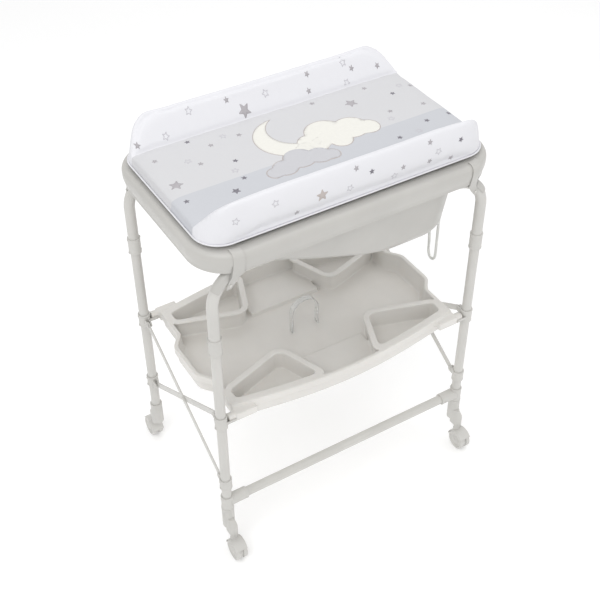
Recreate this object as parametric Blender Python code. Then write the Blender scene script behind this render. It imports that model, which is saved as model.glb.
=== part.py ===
"""Changing table with a baby bath: tube frame on casters, bath tub, hinged changing pad and shelf tray.

Units are metres.  X runs along the length, Y from the front (-) to the rear (+), Z is up.
The origin is on the floor, under the middle of the frame.
"""
import math

import bmesh
import bpy
from mathutils import Matrix, Vector

# ---- overall sizes -------------------------------------------------------------------------
LEG_X = 0.351             # leg axis to the middle, along the length
LEG_Y = 0.205             # leg axis to the middle, front to rear
TUBE_LEVEL = 0.888        # height of the straight top run of each bent tube
GAP = 0.0003              # clearance between pieces that touch

# ---- tubes and their fittings --------------------------------------------------------------
UPPER_RADIUS = 0.013
LEG_RADIUS = 0.012
TUBE_WALL = 0.0012
BEND_RADIUS = 0.085
FITTING_WALL = 0.0032
SLEEVE_Z, SLEEVE_HEIGHT = 0.698, 0.044
SHELF_COLLAR_Z, SHELF_COLLAR_HEIGHT = 0.4605, 0.037
BRACE_COLLAR_Z, BRACE_COLLAR_HEIGHT = 0.2436, 0.032
TEE_Z, TEE_HEIGHT = 0.1745, 0.042
TEE_REACH = 0.053
BAR_RADIUS = 0.012
ROUND = 12                # sides of a tube or a round fitting, a multiple of four
BEND_STEPS = 6
WHEEL_SIDES = 16
SMALL_ROUND = 8           # sides of pins and bores

# ---- side braces ---------------------------------------------------------------------------
BRACE_THICKNESS = 0.003
BRACE_WIDTH = 0.015
PIN_RADIUS = 0.003
PIN_REACH = LEG_RADIUS + 0.014        # brace pin to the leg axis
FORK_CHEEK = 0.0028
FORK_WIDTH = 0.016

# ---- feet and casters ----------------------------------------------------------------------
FOOT_TOP = TEE_Z - TEE_HEIGHT / 2 - GAP
FOOT_BOTTOM = 0.083
FOOT_FLOOR = 0.005
BOSS_OFFSET = LEG_RADIUS + 0.012      # caster stem axis outward of the leg axis
BOSS_RADIUS = 0.011
BOSS_BOTTOM, BOSS_TOP = 0.069, 0.118
STEM_RADIUS = 0.0045
STEM_TOP = 0.104
STEM_CLEARANCE = 0.0004
WHEEL_RADIUS = 0.0275
WHEEL_WIDTH = 0.0115
WEB_THICKNESS = 0.008
AXLE_RADIUS = 0.0035
CASTER_TRAIL = 0.016
FENDER_THICKNESS = 0.0022
FENDER_CLEARANCE = 0.001
NECK_RADIUS = 0.0085

# ---- bath tub ------------------------------------------------------------------------------
RIM_X = LEG_X + 0.0235              # widest half sizes of the rim's skirt
RIM_Y = LEG_Y + 0.0325
RIM_CORNER = 0.098
RIM_TOP = 0.945
SKIRT_HEIGHT = 0.050
RIM_WALL = 0.003
FLANGE_CLEARANCE = 0.0012           # flange's underside above the bent tubes
BOWL_X = RIM_X - 0.0465             # bowl's outside at the flange, half sizes
BOWL_Y = RIM_Y - 0.0475
BOWL_CORNER = 0.092
BOWL_DRAFT = 0.12                   # inward slope of the bowl's walls
TUB_BOTTOM = 0.718
BOWL_ROUND = 0.045                  # rounding between walls and floor
HEAD_END_FLOOR = 0.10               # the sloped head end meets the floor here
TUB_WALL = 0.003
OUTLINE_ARC = 5                     # points in each rounded corner of the tub and the tray

# ---- drain ---------------------------------------------------------------------------------
DRAIN_X, DRAIN_Y = BOWL_X - 0.093, -0.020
DRAIN_HOLE = 0.017
OUTLET_FLANGE, OUTLET_BODY, OUTLET_BORE = 0.024, 0.0145, 0.0125
OUTLET_DEPTH = 0.026
NOZZLE_RADIUS, NOZZLE_LENGTH = 0.0052, 0.048
PLUG_CAP, PLUG_STEM = 0.0205, 0.0118
HOSE_RADIUS = 0.0035
HOSE_END_Z = 0.869
HOSE_STEP = 2.6 * 2 * HOSE_RADIUS
CLIP_RADIUS, CLIP_FLANGE = 0.0058, 0.0078

# ---- brackets that hold the tub on the bent tubes ------------------------------------------
BRACKET_X = LEG_X - 0.053
BRACKET_WIDTH = 0.024
BRACKET_THICKNESS = 0.0026
BRACKET_REACH = 0.019               # how far the strap reaches over the rim's top
SADDLE_STEPS = range(2, 6)          # steps of the tube's bend that the saddle covers

# ---- changing pad --------------------------------------------------------------------------
PAD_X = RIM_X - 0.017               # half sizes of the pad's foot
PAD_Y = RIM_Y - 0.0265
PAD_CORNER = 0.062
PAD_FLAT = RIM_TOP + 0.033          # top of the flat
FOLD_Y = PAD_Y - 0.066              # where the wings rise
WING_TOP_Y, WING_TOP_Z = PAD_Y - 0.015, PAD_FLAT + 0.067
WING_THICKNESS = 0.016
BOARD_THICKNESS = 0.005
BOARD_INSET = 0.012
HINGE_X = 0.235
HINGE_Y, HINGE_Z = RIM_Y - 0.014, RIM_TOP + 0.0105
KNUCKLE_RADIUS = 0.0062
KNUCKLE_LENGTH = 0.022
EAR_LENGTH = 0.008
HINGE_PIN = 0.003

# ---- shelf tray ----------------------------------------------------------------------------
TRAY_X = LEG_X - 0.037              # tray's corners
TRAY_Y = LEG_Y - 0.015
TRAY_TOP = 0.478
TRAY_BULGE_Y = 0.036                # long edges curve outward
TRAY_LOBE_X, TRAY_LOBE_Y = 0.027, 0.062
TRAY_SKIRT = 0.022
TRAY_DEPTH = 0.056
TRAY_FLOOR = 0.004
TRAY_LIP = 0.0095
POCKET_WALL = 0.0075
POCKET_APEX = (0.129, 0.088)
POCKET_TIP_X = 0.0865
POCKET_END_X, POCKET_END_Y = TRAY_X - 0.0215, TRAY_Y - 0.049
POCKET_INSET = 0.0215               # pocket's outer side to the tray's outline
POCKET_RIM, POCKET_RIM_DEPTH = 0.0125, 0.007        # band around each pocket's mouth
TRAY_TUCK = 0.012                   # the tray's bottom edge inside its outline
STUB_RADIUS = 0.0105
STUB_END = LEG_RADIUS + GAP + FITTING_WALL + 0.0015      # stub's end to the leg axis
CRADLE_REACH = 0.034
CRADLE_WALL = 0.0028
STEP_X, STEP_Y, STEP_HEIGHT = 0.100, TRAY_Y - 0.089, 0.010      # raised bay between two pockets
LUG_FROM, LUG_TO = LEG_X - 0.089, LEG_X - 0.0355         # corner lugs that carry the stubs
HOOP_X, HOOP_RADIUS, HOOP_TOP = -0.004, 0.038, 0.523
HOOP_WIDTH, HOOP_WALL = 0.016, 0.0018

CORNERS = {"front_left": (-1, -1), "front_right": (1, -1), "rear_left": (-1, 1), "rear_right": (1, 1)}

FLANGE_UNDER = TUBE_LEVEL + UPPER_RADIUS + FLANGE_CLEARANCE
SKIRT_BOTTOM = RIM_TOP - SKIRT_HEIGHT


# ============================================================================================
# scene, materials and mesh helpers
# ============================================================================================
def clear_scene():
    for item in list(bpy.data.objects):
        bpy.data.objects.remove(item, do_unlink=True)


def material(name, colour, roughness, metallic):
    made = bpy.data.materials.get(name) or bpy.data.materials.new(name)
    made.use_nodes = True
    shader = made.node_tree.nodes["Principled BSDF"]
    shader.inputs["Base Color"].default_value = (*colour, 1.0)
    shader.inputs["Roughness"].default_value = roughness
    shader.inputs["Metallic"].default_value = metallic
    return made


FINISHES = {          # colour, roughness, metallic
    "painted_tube": ((0.72, 0.70, 0.66), 0.38, 0.0),
    "fitting": ((0.70, 0.685, 0.65), 0.45, 0.0),
    "tub_plastic": ((0.74, 0.72, 0.68), 0.32, 0.0),
    "tray_plastic": ((0.62, 0.60, 0.57), 0.42, 0.0),
    "pad_vinyl": ((0.85, 0.85, 0.88), 0.45, 0.0),
    "board": ((0.80, 0.79, 0.76), 0.6, 0.0),
    "caster_plastic": ((0.66, 0.65, 0.62), 0.45, 0.0),
    "clear_plastic": ((0.86, 0.88, 0.88), 0.15, 0.0),
    "hose_silicone": ((0.86, 0.86, 0.84), 0.4, 0.0),
    "rivet_steel": ((0.55, 0.55, 0.53), 0.35, 0.9),
}


def finish(obj, name):
    obj.data.materials.clear()
    obj.data.materials.append(material(f"{obj.name}_{name}", *FINISHES[name]))


def add_object(name, bm, look, origin=(0, 0, 0), parent=None):
    """Turn a bmesh in world coordinates into an object whose origin is at `origin`."""
    bmesh.ops.translate(bm, vec=-Vector(origin), verts=bm.verts)
    bmesh.ops.recalc_face_normals(bm, faces=bm.faces)
    mesh = bpy.data.meshes.new(name)
    bm.to_mesh(mesh)
    bm.free()
    mesh.shade_smooth()
    mesh.set_sharp_from_angle(angle=math.radians(35))
    obj = bpy.data.objects.new(name, mesh)
    bpy.context.scene.collection.objects.link(obj)
    obj.location = origin
    if parent:
        obj.parent = parent
        obj.location = Vector(origin) - parent.location
    if look:
        finish(obj, look)
    return obj


def add_empty(name, origin):
    empty = bpy.data.objects.new(name, None)
    empty.location = origin
    bpy.context.scene.collection.objects.link(empty)
    return empty


def boolean(obj, bm, operation):
    """Join or cut `obj` with a shape given as a bmesh in world coordinates."""
    tool = add_object(f"{obj.name}_{operation.lower()}_{len(obj.modifiers)}", bm, None)
    tool.hide_render = True
    tool.display_type = "WIRE"
    modifier = obj.modifiers.new(operation.title(), "BOOLEAN")
    modifier.operation = operation
    modifier.solver = "EXACT"
    modifier.object = tool
    return obj


def skin(rings, loop=False):
    """Closed mesh over rings with the same number of points; `loop` joins the last to the first."""
    bm = bmesh.new()
    rows = [[bm.verts.new(point) for point in ring] for ring in rings]
    count = len(rows[0])
    pairs = list(zip(rows, rows[1:]))
    if loop:
        pairs.append((rows[-1], rows[0]))
    for lower, upper in pairs:
        for i in range(count):
            j = (i + 1) % count
            bm.faces.new((lower[i], lower[j], upper[j], upper[i]))
    if not loop:
        bm.faces.new(list(reversed(rows[0])))
        bm.faces.new(rows[-1])
    return bm


def frame_along(direction):
    """Two unit vectors square to `direction`."""
    direction = Vector(direction).normalized()
    helper = Vector((1, 0, 0)) if abs(direction.x) < 0.9 else Vector((0, 1, 0))
    across = direction.cross(helper).normalized()
    return across, direction.cross(across)


def ring_at(centre, direction, radius, sides=ROUND):
    across, other = frame_along(direction)
    return [
        Vector(centre) + radius * (math.cos(a) * across + math.sin(a) * other)
        for a in (2 * math.pi * i / sides for i in range(sides))
    ]


def turned(base, axis, profile, sides=ROUND, loop=True):
    """Turn (radius, height) points about an axis; `loop` is for a profile clear of the axis."""
    axis = Vector(axis).normalized()
    rings = [ring_at(Vector(base) + axis * height, axis, radius, sides) for radius, height in profile]
    return skin(rings, loop)


def rod(start, end, radius, sides=ROUND):
    axis = Vector(end) - Vector(start)
    return turned(start, axis, [(radius, 0), (radius, axis.length)], sides, loop=False)


def pipe(start, end, outer, inner, sides=ROUND):
    length = (Vector(end) - Vector(start)).length
    profile = [(outer, 0), (outer, length), (inner, length), (inner, 0)]
    return turned(start, Vector(end) - Vector(start), profile, sides)


def ferrule(base, height, outer, inner, edge=0.0012):
    """Upright ring with eased outer edges."""
    profile = [(inner, 0), (outer - edge, 0), (outer, edge), (outer, height - edge),
               (outer - edge, height), (inner, height)]
    return turned(base, (0, 0, 1), profile)


def prism(outline, start, extent):
    """Extrude a list of 3-D points by the vector `extent` from `start`."""
    lower = [Vector(start) + Vector(p) for p in outline]
    upper = [p + Vector(extent) for p in lower]
    return skin([lower, upper])


def block(low, high):
    outline = [(low[0], low[1], low[2]), (high[0], low[1], low[2]),
               (high[0], high[1], low[2]), (low[0], high[1], low[2])]
    return prism(outline, (0, 0, 0), (0, 0, high[2] - low[2]))


def rounded(points, radius, steps=OUTLINE_ARC):
    """Round the corners of a 2-D outline; `radius` is one value or one for each corner."""
    radii = radius if isinstance(radius, (list, tuple)) else [radius] * len(points)
    made = []
    for i, (corner, r) in enumerate(zip(points, radii)):
        here = Vector(corner)
        before = (Vector(points[i - 1]) - here)
        after = (Vector(points[(i + 1) % len(points)]) - here)
        half = before.angle(after) / 2
        reach = min(r / math.tan(half), before.length * 0.48, after.length * 0.48)
        r = reach * math.tan(half)
        centre = here + (before.normalized() + after.normalized()).normalized() * (r / math.sin(half))
        first = (here + before.normalized() * reach) - centre
        last = (here + after.normalized() * reach) - centre
        sweep = first.angle_signed(last)
        for k in range(steps + 1):
            made.append(centre + Matrix.Rotation(-sweep * k / steps, 2) @ first)
    return made


def rounded_box(half_x, half_y, radius, z, steps=OUTLINE_ARC, shift=0.0):
    corners = [(-half_x, -half_y), (half_x, -half_y), (half_x, half_y), (-half_x, half_y)]
    return [Vector((p.x + shift, p.y, z)) for p in rounded(corners, radius, steps)]


# ============================================================================================
# frame
# ============================================================================================
def bent_tube_path(side_y):
    """Axis of one inverted-U tube with its directions, from the left end to the right end."""
    points = []
    bottom = SLEEVE_Z + GAP
    bend_x = LEG_X - BEND_RADIUS
    bend_z = TUBE_LEVEL - BEND_RADIUS
    points.append((Vector((-LEG_X, side_y, bottom)), Vector((0, 0, 1))))
    for k in range(BEND_STEPS + 1):
        a = math.radians(90) * k / BEND_STEPS
        place = Vector((-bend_x - BEND_RADIUS * math.cos(a), side_y, bend_z + BEND_RADIUS * math.sin(a)))
        points.append((place, Vector((math.sin(a), 0, math.cos(a)))))
    mirrored = [(Vector((-p.x, p.y, p.z)), Vector((d.x, 0, -d.z))) for p, d in reversed(points)]
    return points + mirrored


def tube_ring(place, direction, radius):
    across = Vector((0, 1, 0))
    other = Vector(direction).cross(across)
    angles = (2 * math.pi * i / ROUND for i in range(ROUND))
    return [place + radius * (math.cos(a) * across + math.sin(a) * other) for a in angles]


def build_upper_tubes():
    for name, side_y in (("front_upper_tube", -LEG_Y), ("rear_upper_tube", LEG_Y)):
        path = bent_tube_path(side_y)
        outer = [tube_ring(p, d, UPPER_RADIUS) for p, d in path]
        inner = [tube_ring(p, d, UPPER_RADIUS - TUBE_WALL) for p, d in reversed(path)]
        add_object(name, skin(outer + inner, loop=True), "painted_tube")


def build_legs():
    for corner, (sx, sy) in CORNERS.items():
        foot = (sx * LEG_X, sy * LEG_Y, FOOT_BOTTOM + FOOT_FLOOR + GAP)
        top = (sx * LEG_X, sy * LEG_Y, SLEEVE_Z - GAP)
        add_object(f"{corner}_leg", pipe(foot, top, LEG_RADIUS, LEG_RADIUS - TUBE_WALL), "painted_tube")


def build_sleeves():
    """A sleeve joins each upper tube to its leg; a step inside stops both tubes."""
    outer = max(UPPER_RADIUS, LEG_RADIUS) + GAP + 0.0018
    low, high = -SLEEVE_HEIGHT / 2, SLEEVE_HEIGHT / 2
    edge = 0.0015
    profile = [(LEG_RADIUS + GAP, low), (outer - edge, low), (outer, low + edge), (outer, high - edge),
               (outer - edge, high), (UPPER_RADIUS + GAP, high), (UPPER_RADIUS + GAP, GAP / 2),
               (LEG_RADIUS + GAP, GAP / 2)]
    for corner, (sx, sy) in CORNERS.items():
        base = (sx * LEG_X, sy * LEG_Y, SLEEVE_Z)
        add_object(f"{corner}_sleeve", turned(base, (0, 0, 1), profile), "fitting")


def fork(obj, leg, sy, centre_z):
    """Two cheeks and a pin that hold a brace's end, on the side that faces the opposite leg."""
    slot = 2 * BRACE_THICKNESS + 3 * GAP
    inward = -sy
    root = LEG_RADIUS + GAP + FITTING_WALL * 0.5
    for side in (-1, 1):
        near = side * slot / 2
        far = side * (slot / 2 + FORK_CHEEK)
        x_low, x_high = sorted((leg.x + near, leg.x + far))
        nose = FORK_WIDTH / 2
        outline = [(0, inward * root, -nose), (0, inward * (PIN_REACH - nose * 0.2), -nose)]
        for k in range(5):
            a = math.radians(-90 + 45 * k)
            outline.append((0, inward * (PIN_REACH + nose * math.cos(a)), nose * math.sin(a)))
        outline += [(0, inward * (PIN_REACH - nose * 0.2), nose), (0, inward * root, nose)]
        start = (x_low, leg.y, centre_z)
        boolean(obj, prism(outline, start, (x_high - x_low, 0, 0)), "UNION")
    pin_half = slot / 2 + FORK_CHEEK + 0.0012
    pin_y = leg.y + inward * PIN_REACH
    ends = [(leg.x + s * pin_half, pin_y, centre_z) for s in (-1, 1)]
    boolean(obj, rod(*ends, PIN_RADIUS, SMALL_ROUND), "UNION")


def build_collars():
    collar_radius = LEG_RADIUS + GAP + FITTING_WALL
    for corner, (sx, sy) in CORNERS.items():
        leg = Vector((sx * LEG_X, sy * LEG_Y, 0))
        base = leg + Vector((0, 0, SHELF_COLLAR_Z - SHELF_COLLAR_HEIGHT / 2))
        ring = ferrule(base, SHELF_COLLAR_HEIGHT, collar_radius, LEG_RADIUS + GAP)
        shelf_collar = add_object(f"{corner}_shelf_collar", ring, "fitting")
        fork(shelf_collar, leg, sy, SHELF_COLLAR_Z)
        boolean(shelf_collar, cradle(leg, sx), "UNION")
        base = leg + Vector((0, 0, BRACE_COLLAR_Z - BRACE_COLLAR_HEIGHT / 2))
        ring = ferrule(base, BRACE_COLLAR_HEIGHT, collar_radius, LEG_RADIUS + GAP)
        brace_collar = add_object(f"{corner}_brace_collar", ring, "fitting")
        fork(brace_collar, leg, sy, BRACE_COLLAR_Z)


def stub_height():
    """Axis height of the shelf's stubs."""
    return SHELF_COLLAR_Z + 0.001


def cradle(leg, sx):
    """Open-topped half pipe that a shelf stub drops into."""
    inner = STUB_RADIUS + GAP
    outer = inner + CRADLE_WALL
    steps = 7
    rim = 0.002
    outline = [(0, outer, rim), *[(0, outer * math.cos(a), -outer * math.sin(a))
               for a in (math.pi * k / steps for k in range(steps + 1))], (0, -outer, rim), (0, -inner, rim)]
    outline += [(0, inner * math.cos(a), -inner * math.sin(a))
                for a in (math.pi * (steps - k) / steps for k in range(steps + 1))]
    outline.append((0, inner, rim))
    start_x = leg.x - sx * (LEG_RADIUS + GAP + FITTING_WALL * 0.4)
    end_x = leg.x - sx * CRADLE_REACH
    return prism(outline, (start_x, leg.y, stub_height()), (end_x - start_x, 0, 0))


def build_tees_and_bar():
    outer = LEG_RADIUS + GAP + FITTING_WALL
    for side, sx in (("left", -1), ("right", 1)):
        leg = Vector((sx * LEG_X, -LEG_Y, 0))
        base = leg + Vector((0, 0, TEE_Z - TEE_HEIGHT / 2))
        tee = add_object(f"{side}_tee_joint", ferrule(base, TEE_HEIGHT, outer, LEG_RADIUS + GAP), "fitting")
        start = leg + Vector((-sx * (LEG_RADIUS + GAP + FITTING_WALL * 0.5), 0, TEE_Z))
        end = leg + Vector((-sx * TEE_REACH, 0, TEE_Z))
        boolean(tee, pipe(start, end, BAR_RADIUS + GAP + 0.0028, BAR_RADIUS + GAP), "UNION")
    bar_x = LEG_X - outer - GAP
    ends = [(s * bar_x, -LEG_Y, TEE_Z) for s in (-1, 1)]
    add_object("front_bottom_bar", pipe(*ends, BAR_RADIUS, BAR_RADIUS - TUBE_WALL), "painted_tube")


def brace_plate(start, end, x):
    """Flat bar with round ends between two pins, square to X."""
    start, end = Vector(start), Vector(end)
    along = (end - start).normalized()
    across = Vector((-along.y, along.x))
    half = BRACE_WIDTH / 2
    outline = []
    for centre, facing in ((start, -along), (end, along)):
        for k in range(7):
            a = math.radians(-90 + 30 * k)
            turn = across if centre is end else -across
            p = centre + half * (math.cos(a) * facing + math.sin(a) * turn)
            outline.append((0, p.x, p.y))
    return prism(outline, (x - BRACE_THICKNESS / 2, 0, 0), (BRACE_THICKNESS, 0, 0))


def build_braces():
    pin_y = LEG_Y - PIN_REACH
    middle_z = (SHELF_COLLAR_Z + BRACE_COLLAR_Z) / 2
    offset = (BRACE_THICKNESS + GAP) / 2
    reach = BRACE_THICKNESS
    for side, sx in (("left", -1), ("right", 1)):
        runs = (("rising", -1, BRACE_COLLAR_Z, SHELF_COLLAR_Z), ("falling", 1, SHELF_COLLAR_Z, BRACE_COLLAR_Z))
        for run, lean, front_z, rear_z in runs:
            x = sx * LEG_X + lean * offset
            bar = brace_plate((-pin_y, front_z), (pin_y, rear_z), x)
            obj = add_object(f"{side}_{run}_brace", bar, "painted_tube")
            for y, z in ((-pin_y, front_z), (pin_y, rear_z), (0, middle_z)):
                hole = rod((x - reach, y, z), (x + reach, y, z), PIN_RADIUS + GAP, SMALL_ROUND)
                boolean(obj, hole, "DIFFERENCE")
        build_rivet(f"{side}_brace_rivet", sx, middle_z)


def build_rivet(name, sx, z):
    stack = BRACE_THICKNESS + GAP * 1.5
    head, crown = 0.0055, 0.0016
    profile = [(head * 0.6, -stack - crown), (head, -stack - crown * 0.3), (head, -stack), (PIN_RADIUS, -stack),
               (PIN_RADIUS, stack), (head, stack), (head, stack + crown * 0.3), (head * 0.6, stack + crown)]
    add_object(name, turned((sx * LEG_X, 0, z), (1, 0, 0), profile, SMALL_ROUND, loop=False), "rivet_steel")


# ============================================================================================
# feet and casters
# ============================================================================================
def build_feet():
    for corner, (sx, sy) in CORNERS.items():
        leg = Vector((sx * LEG_X, sy * LEG_Y, 0))
        outer = LEG_RADIUS + GAP + FITTING_WALL
        inner = LEG_RADIUS + GAP
        edge = 0.0015
        profile = [(outer - edge, FOOT_BOTTOM), (outer, FOOT_BOTTOM + edge), (outer, FOOT_TOP - edge),
                   (outer - edge, FOOT_TOP), (inner, FOOT_TOP), (inner, FOOT_BOTTOM + FOOT_FLOOR)]
        cup = add_object(f"{corner}_foot", turned(leg, (0, 0, 1), profile, loop=False), "fitting")
        boss = leg + Vector((0, sy * BOSS_OFFSET, 0))
        boolean(cup, boss_shape(leg, boss, sy), "UNION")
        bore = rod(boss + Vector((0, 0, BOSS_BOTTOM - 0.01)), boss + Vector((0, 0, STEM_TOP + 0.001)),
                   STEM_RADIUS + STEM_CLEARANCE, SMALL_ROUND)
        boolean(cup, bore, "DIFFERENCE")


def boss_shape(leg, boss, sy):
    """Outward bulge that holds the caster's stem; it starts in the cup's wall."""
    slope = 0.014
    rings = []
    root = LEG_RADIUS + GAP + FITTING_WALL * 0.4
    for z, radius, reach in ((BOSS_BOTTOM, BOSS_RADIUS - 0.001, 0.0), (BOSS_BOTTOM + 0.001, BOSS_RADIUS, 0.0),
                             (BOSS_TOP - slope, BOSS_RADIUS, 0.0), (BOSS_TOP, BOSS_RADIUS * 0.75, 0.009)):
        centre_y = boss.y - sy * reach
        ring = []
        for k in range(9):
            a = math.radians(-90 + 22.5 * k)
            ring.append(Vector((leg.x + sy * radius * math.sin(a), centre_y + sy * radius * math.cos(a), z)))
        ring.append(Vector((leg.x + sy * radius, leg.y + sy * root, z)))
        ring.append(Vector((leg.x - sy * radius, leg.y + sy * root, z)))
        rings.append(ring)
    return skin(rings)


def build_casters():
    for corner, (sx, sy) in CORNERS.items():
        swivel = Vector((sx * LEG_X, sy * (LEG_Y + BOSS_OFFSET), BOSS_BOTTOM))
        pivot = add_empty(f"{corner}_caster_swivel", swivel)
        axle = Vector((swivel.x, swivel.y + sy * CASTER_TRAIL, WHEEL_RADIUS))
        hood = add_object(f"{corner}_caster_fork", web_shape(axle, sy), "caster_plastic",
                          origin=swivel, parent=pivot)
        boolean(hood, stem_shape(swivel), "UNION")
        fender, rib = fender_shapes(axle, sy)
        boolean(hood, rib, "UNION")
        boolean(hood, fender, "UNION")
        half = WEB_THICKNESS / 2 + WHEEL_WIDTH - 0.001
        ends = [axle - Vector((half, 0, 0)), axle + Vector((half, 0, 0))]
        boolean(hood, rod(*ends, AXLE_RADIUS, SMALL_ROUND), "UNION")
        hub = add_empty(f"{corner}_wheel_axle", axle)
        for side, lean in (("inner", -sx), ("outer", sx)):
            start = axle + Vector((lean * (WEB_THICKNESS / 2 + GAP), 0, 0))
            wheel = turned(start, (lean, 0, 0), wheel_profile(), WHEEL_SIDES)
            add_object(f"{corner}_{side}_wheel", wheel, "caster_plastic", origin=axle, parent=hub)


def wheel_profile():
    bore = AXLE_RADIUS + 0.0004
    edge = 0.003
    dish = 0.0025
    return [(bore, 0), (WHEEL_RADIUS, 0), (WHEEL_RADIUS, WHEEL_WIDTH - edge),
            (WHEEL_RADIUS - edge, WHEEL_WIDTH), (WHEEL_RADIUS * 0.70, WHEEL_WIDTH),
            (WHEEL_RADIUS * 0.64, WHEEL_WIDTH - dish), (bore, WHEEL_WIDTH - dish)]


def web_shape(axle, sy):
    """Flat web between the two wheels, from the axle up to the stem's neck."""
    outline = []
    radius = WHEEL_RADIUS - 0.003
    for k in range(9):
        a = math.radians(-30 + 240 * k / 8)
        outline.append((0, sy * radius * math.cos(a), radius * math.sin(a)))
    start = axle - Vector((WEB_THICKNESS / 2, 0, 0))
    return prism(outline, start, (WEB_THICKNESS, 0, 0))


def stem_shape(swivel):
    """Stem in the foot's boss, with a wider neck below it."""
    neck_top = BOSS_BOTTOM - GAP
    neck_bottom = WHEEL_RADIUS * 2 - 0.001
    profile = [(NECK_RADIUS, neck_bottom), (NECK_RADIUS, neck_top - 0.001), (NECK_RADIUS - 0.001, neck_top),
               (STEM_RADIUS, neck_top), (STEM_RADIUS, STEM_TOP - 0.001), (STEM_RADIUS - 0.001, STEM_TOP)]
    return turned((swivel.x, swivel.y, 0), (0, 0, 1), profile, SMALL_ROUND, loop=False)


def arc_strip(centre, sy, outer, inner, half_width, first, last):
    """Curved strip over the wheels between two angles, `half_width` to each side of the middle."""
    angles = [math.radians(first + (last - first) * k / 8) for k in range(9)]
    outline = [(0, sy * outer * math.cos(a), outer * math.sin(a)) for a in angles]
    outline += [(0, sy * inner * math.cos(a), inner * math.sin(a)) for a in reversed(angles)]
    return prism(outline, centre - Vector((half_width, 0, 0)), (2 * half_width, 0, 0))


def fender_shapes(axle, sy):
    """Curved hood over both wheels, and the rib that ties it to the web."""
    inner = WHEEL_RADIUS + FENDER_CLEARANCE
    outer = inner + FENDER_THICKNESS
    fender = arc_strip(axle, sy, outer, inner, WEB_THICKNESS / 2 + WHEEL_WIDTH + 0.0012, 35, 175)
    rib = arc_strip(axle, sy, outer - 0.001, inner - 0.006, WEB_THICKNESS / 2 - 0.0002, 41, 169)
    return fender, rib


# ============================================================================================
# bath tub and what is fixed to it
# ============================================================================================
def bowl_ring(outside, z, inset, head_shift):
    """One level outline of the bowl; `head_shift` moves its head end in."""
    wall = 0.0 if outside else TUB_WALL
    right = BOWL_X - inset - wall
    left = -BOWL_X + inset * 0.5 + head_shift + wall
    half_y = BOWL_Y - inset - wall
    radius = max(min(BOWL_CORNER - inset * 0.4 - wall, half_y * 0.95, (right - left) * 0.45), 0.02)
    return rounded_box((right - left) / 2, half_y, radius, z, shift=(right + left) / 2)


def bowl_levels(outside):
    """Outlines from just under the flange down to the floor, with the sloped head end."""
    top = FLANGE_UNDER if outside else RIM_TOP - RIM_WALL
    bottom = TUB_BOTTOM if outside else TUB_BOTTOM + TUB_WALL
    rings = []
    wall_levels = 7
    for k in range(wall_levels):
        z = top + (bottom + BOWL_ROUND - top) * k / (wall_levels - 1)
        rings.append((z, BOWL_DRAFT * (FLANGE_UNDER - z)))
    inset_at_round = BOWL_DRAFT * (FLANGE_UNDER - bottom - BOWL_ROUND)
    round_steps = 5
    for k in range(1, round_steps + 1):
        a = math.radians(90) * k / round_steps
        z = bottom + BOWL_ROUND * (1 - math.sin(a))
        rings.append((z, inset_at_round + BOWL_ROUND * (1 - math.cos(a))))
    made = []
    full = BOWL_X + HEAD_END_FLOOR
    for z, inset in rings:
        depth = (FLANGE_UNDER - z) / (FLANGE_UNDER - bottom)
        slope = 0.0 if depth <= 0 else full * depth ** 1.35
        made.append(bowl_ring(outside, z, inset, slope - inset * 0.5))
    return made


def rim_ring(inset, z):
    return rounded_box(RIM_X - inset, RIM_Y - inset, RIM_CORNER - inset, z)


def rim_profile():
    """(inset, height) points of the rim, from its inner underside round the skirt to the top's inner edge."""
    lean = 0.006
    nose = 0.012
    bottom = SKIRT_BOTTOM
    outside = [(lean, bottom), (lean * 0.5, bottom + 0.014), (0.0, bottom + 0.027)]
    for k in range(5):
        a = math.radians(90) * k / 4
        outside.append((nose * (1 - math.cos(a)), RIM_TOP - nose + nose * math.sin(a)))
    inside = [(lean + RIM_WALL, bottom), (lean * 0.5 + RIM_WALL, bottom + 0.014)]
    corner = 0.008
    under = FLANGE_UNDER
    inside += [(RIM_WALL + 0.002, under + 0.010), (RIM_WALL + corner, under + 0.018)]
    return outside, inside


def build_tub(parent):
    outside, inside = rim_profile()
    rings = list(reversed(bowl_levels(outside=True)))
    rings.append(rounded_box(BOWL_X + 0.004, BOWL_Y + 0.004, BOWL_CORNER, FLANGE_UNDER + 0.010))
    rings += [rim_ring(inset, z) for inset, z in reversed(inside)]
    rings += [rim_ring(inset, z) for inset, z in outside]
    rings.append(rim_ring(0.034, RIM_TOP))
    rings += bowl_levels(outside=False)
    tub = add_object("tub", skin(rings), "tub_plastic", parent=parent)
    hole = rod((DRAIN_X, DRAIN_Y, TUB_BOTTOM - 0.01), (DRAIN_X, DRAIN_Y, TUB_BOTTOM + 0.02), DRAIN_HOLE)
    boolean(tub, hole, "DIFFERENCE")
    return tub


def offset_path(points, distance):
    """Shift an open 2-D path sideways, to the left of its direction."""
    made = []
    for i, point in enumerate(points):
        before = Vector(points[max(i - 1, 0)])
        after = Vector(points[min(i + 1, len(points) - 1)])
        along = (after - before).normalized()
        made.append(Vector(point) + distance * Vector((-along.y, along.x)))
    return made


def rim_reach(x, inset):
    """Distance from the middle to the rim's face at `x`, measured to the front or the rear."""
    side = max(abs(x) - (RIM_X - RIM_CORNER), 0.0)
    return RIM_Y - RIM_CORNER + math.sqrt((RIM_CORNER - inset) ** 2 - side ** 2)


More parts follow.
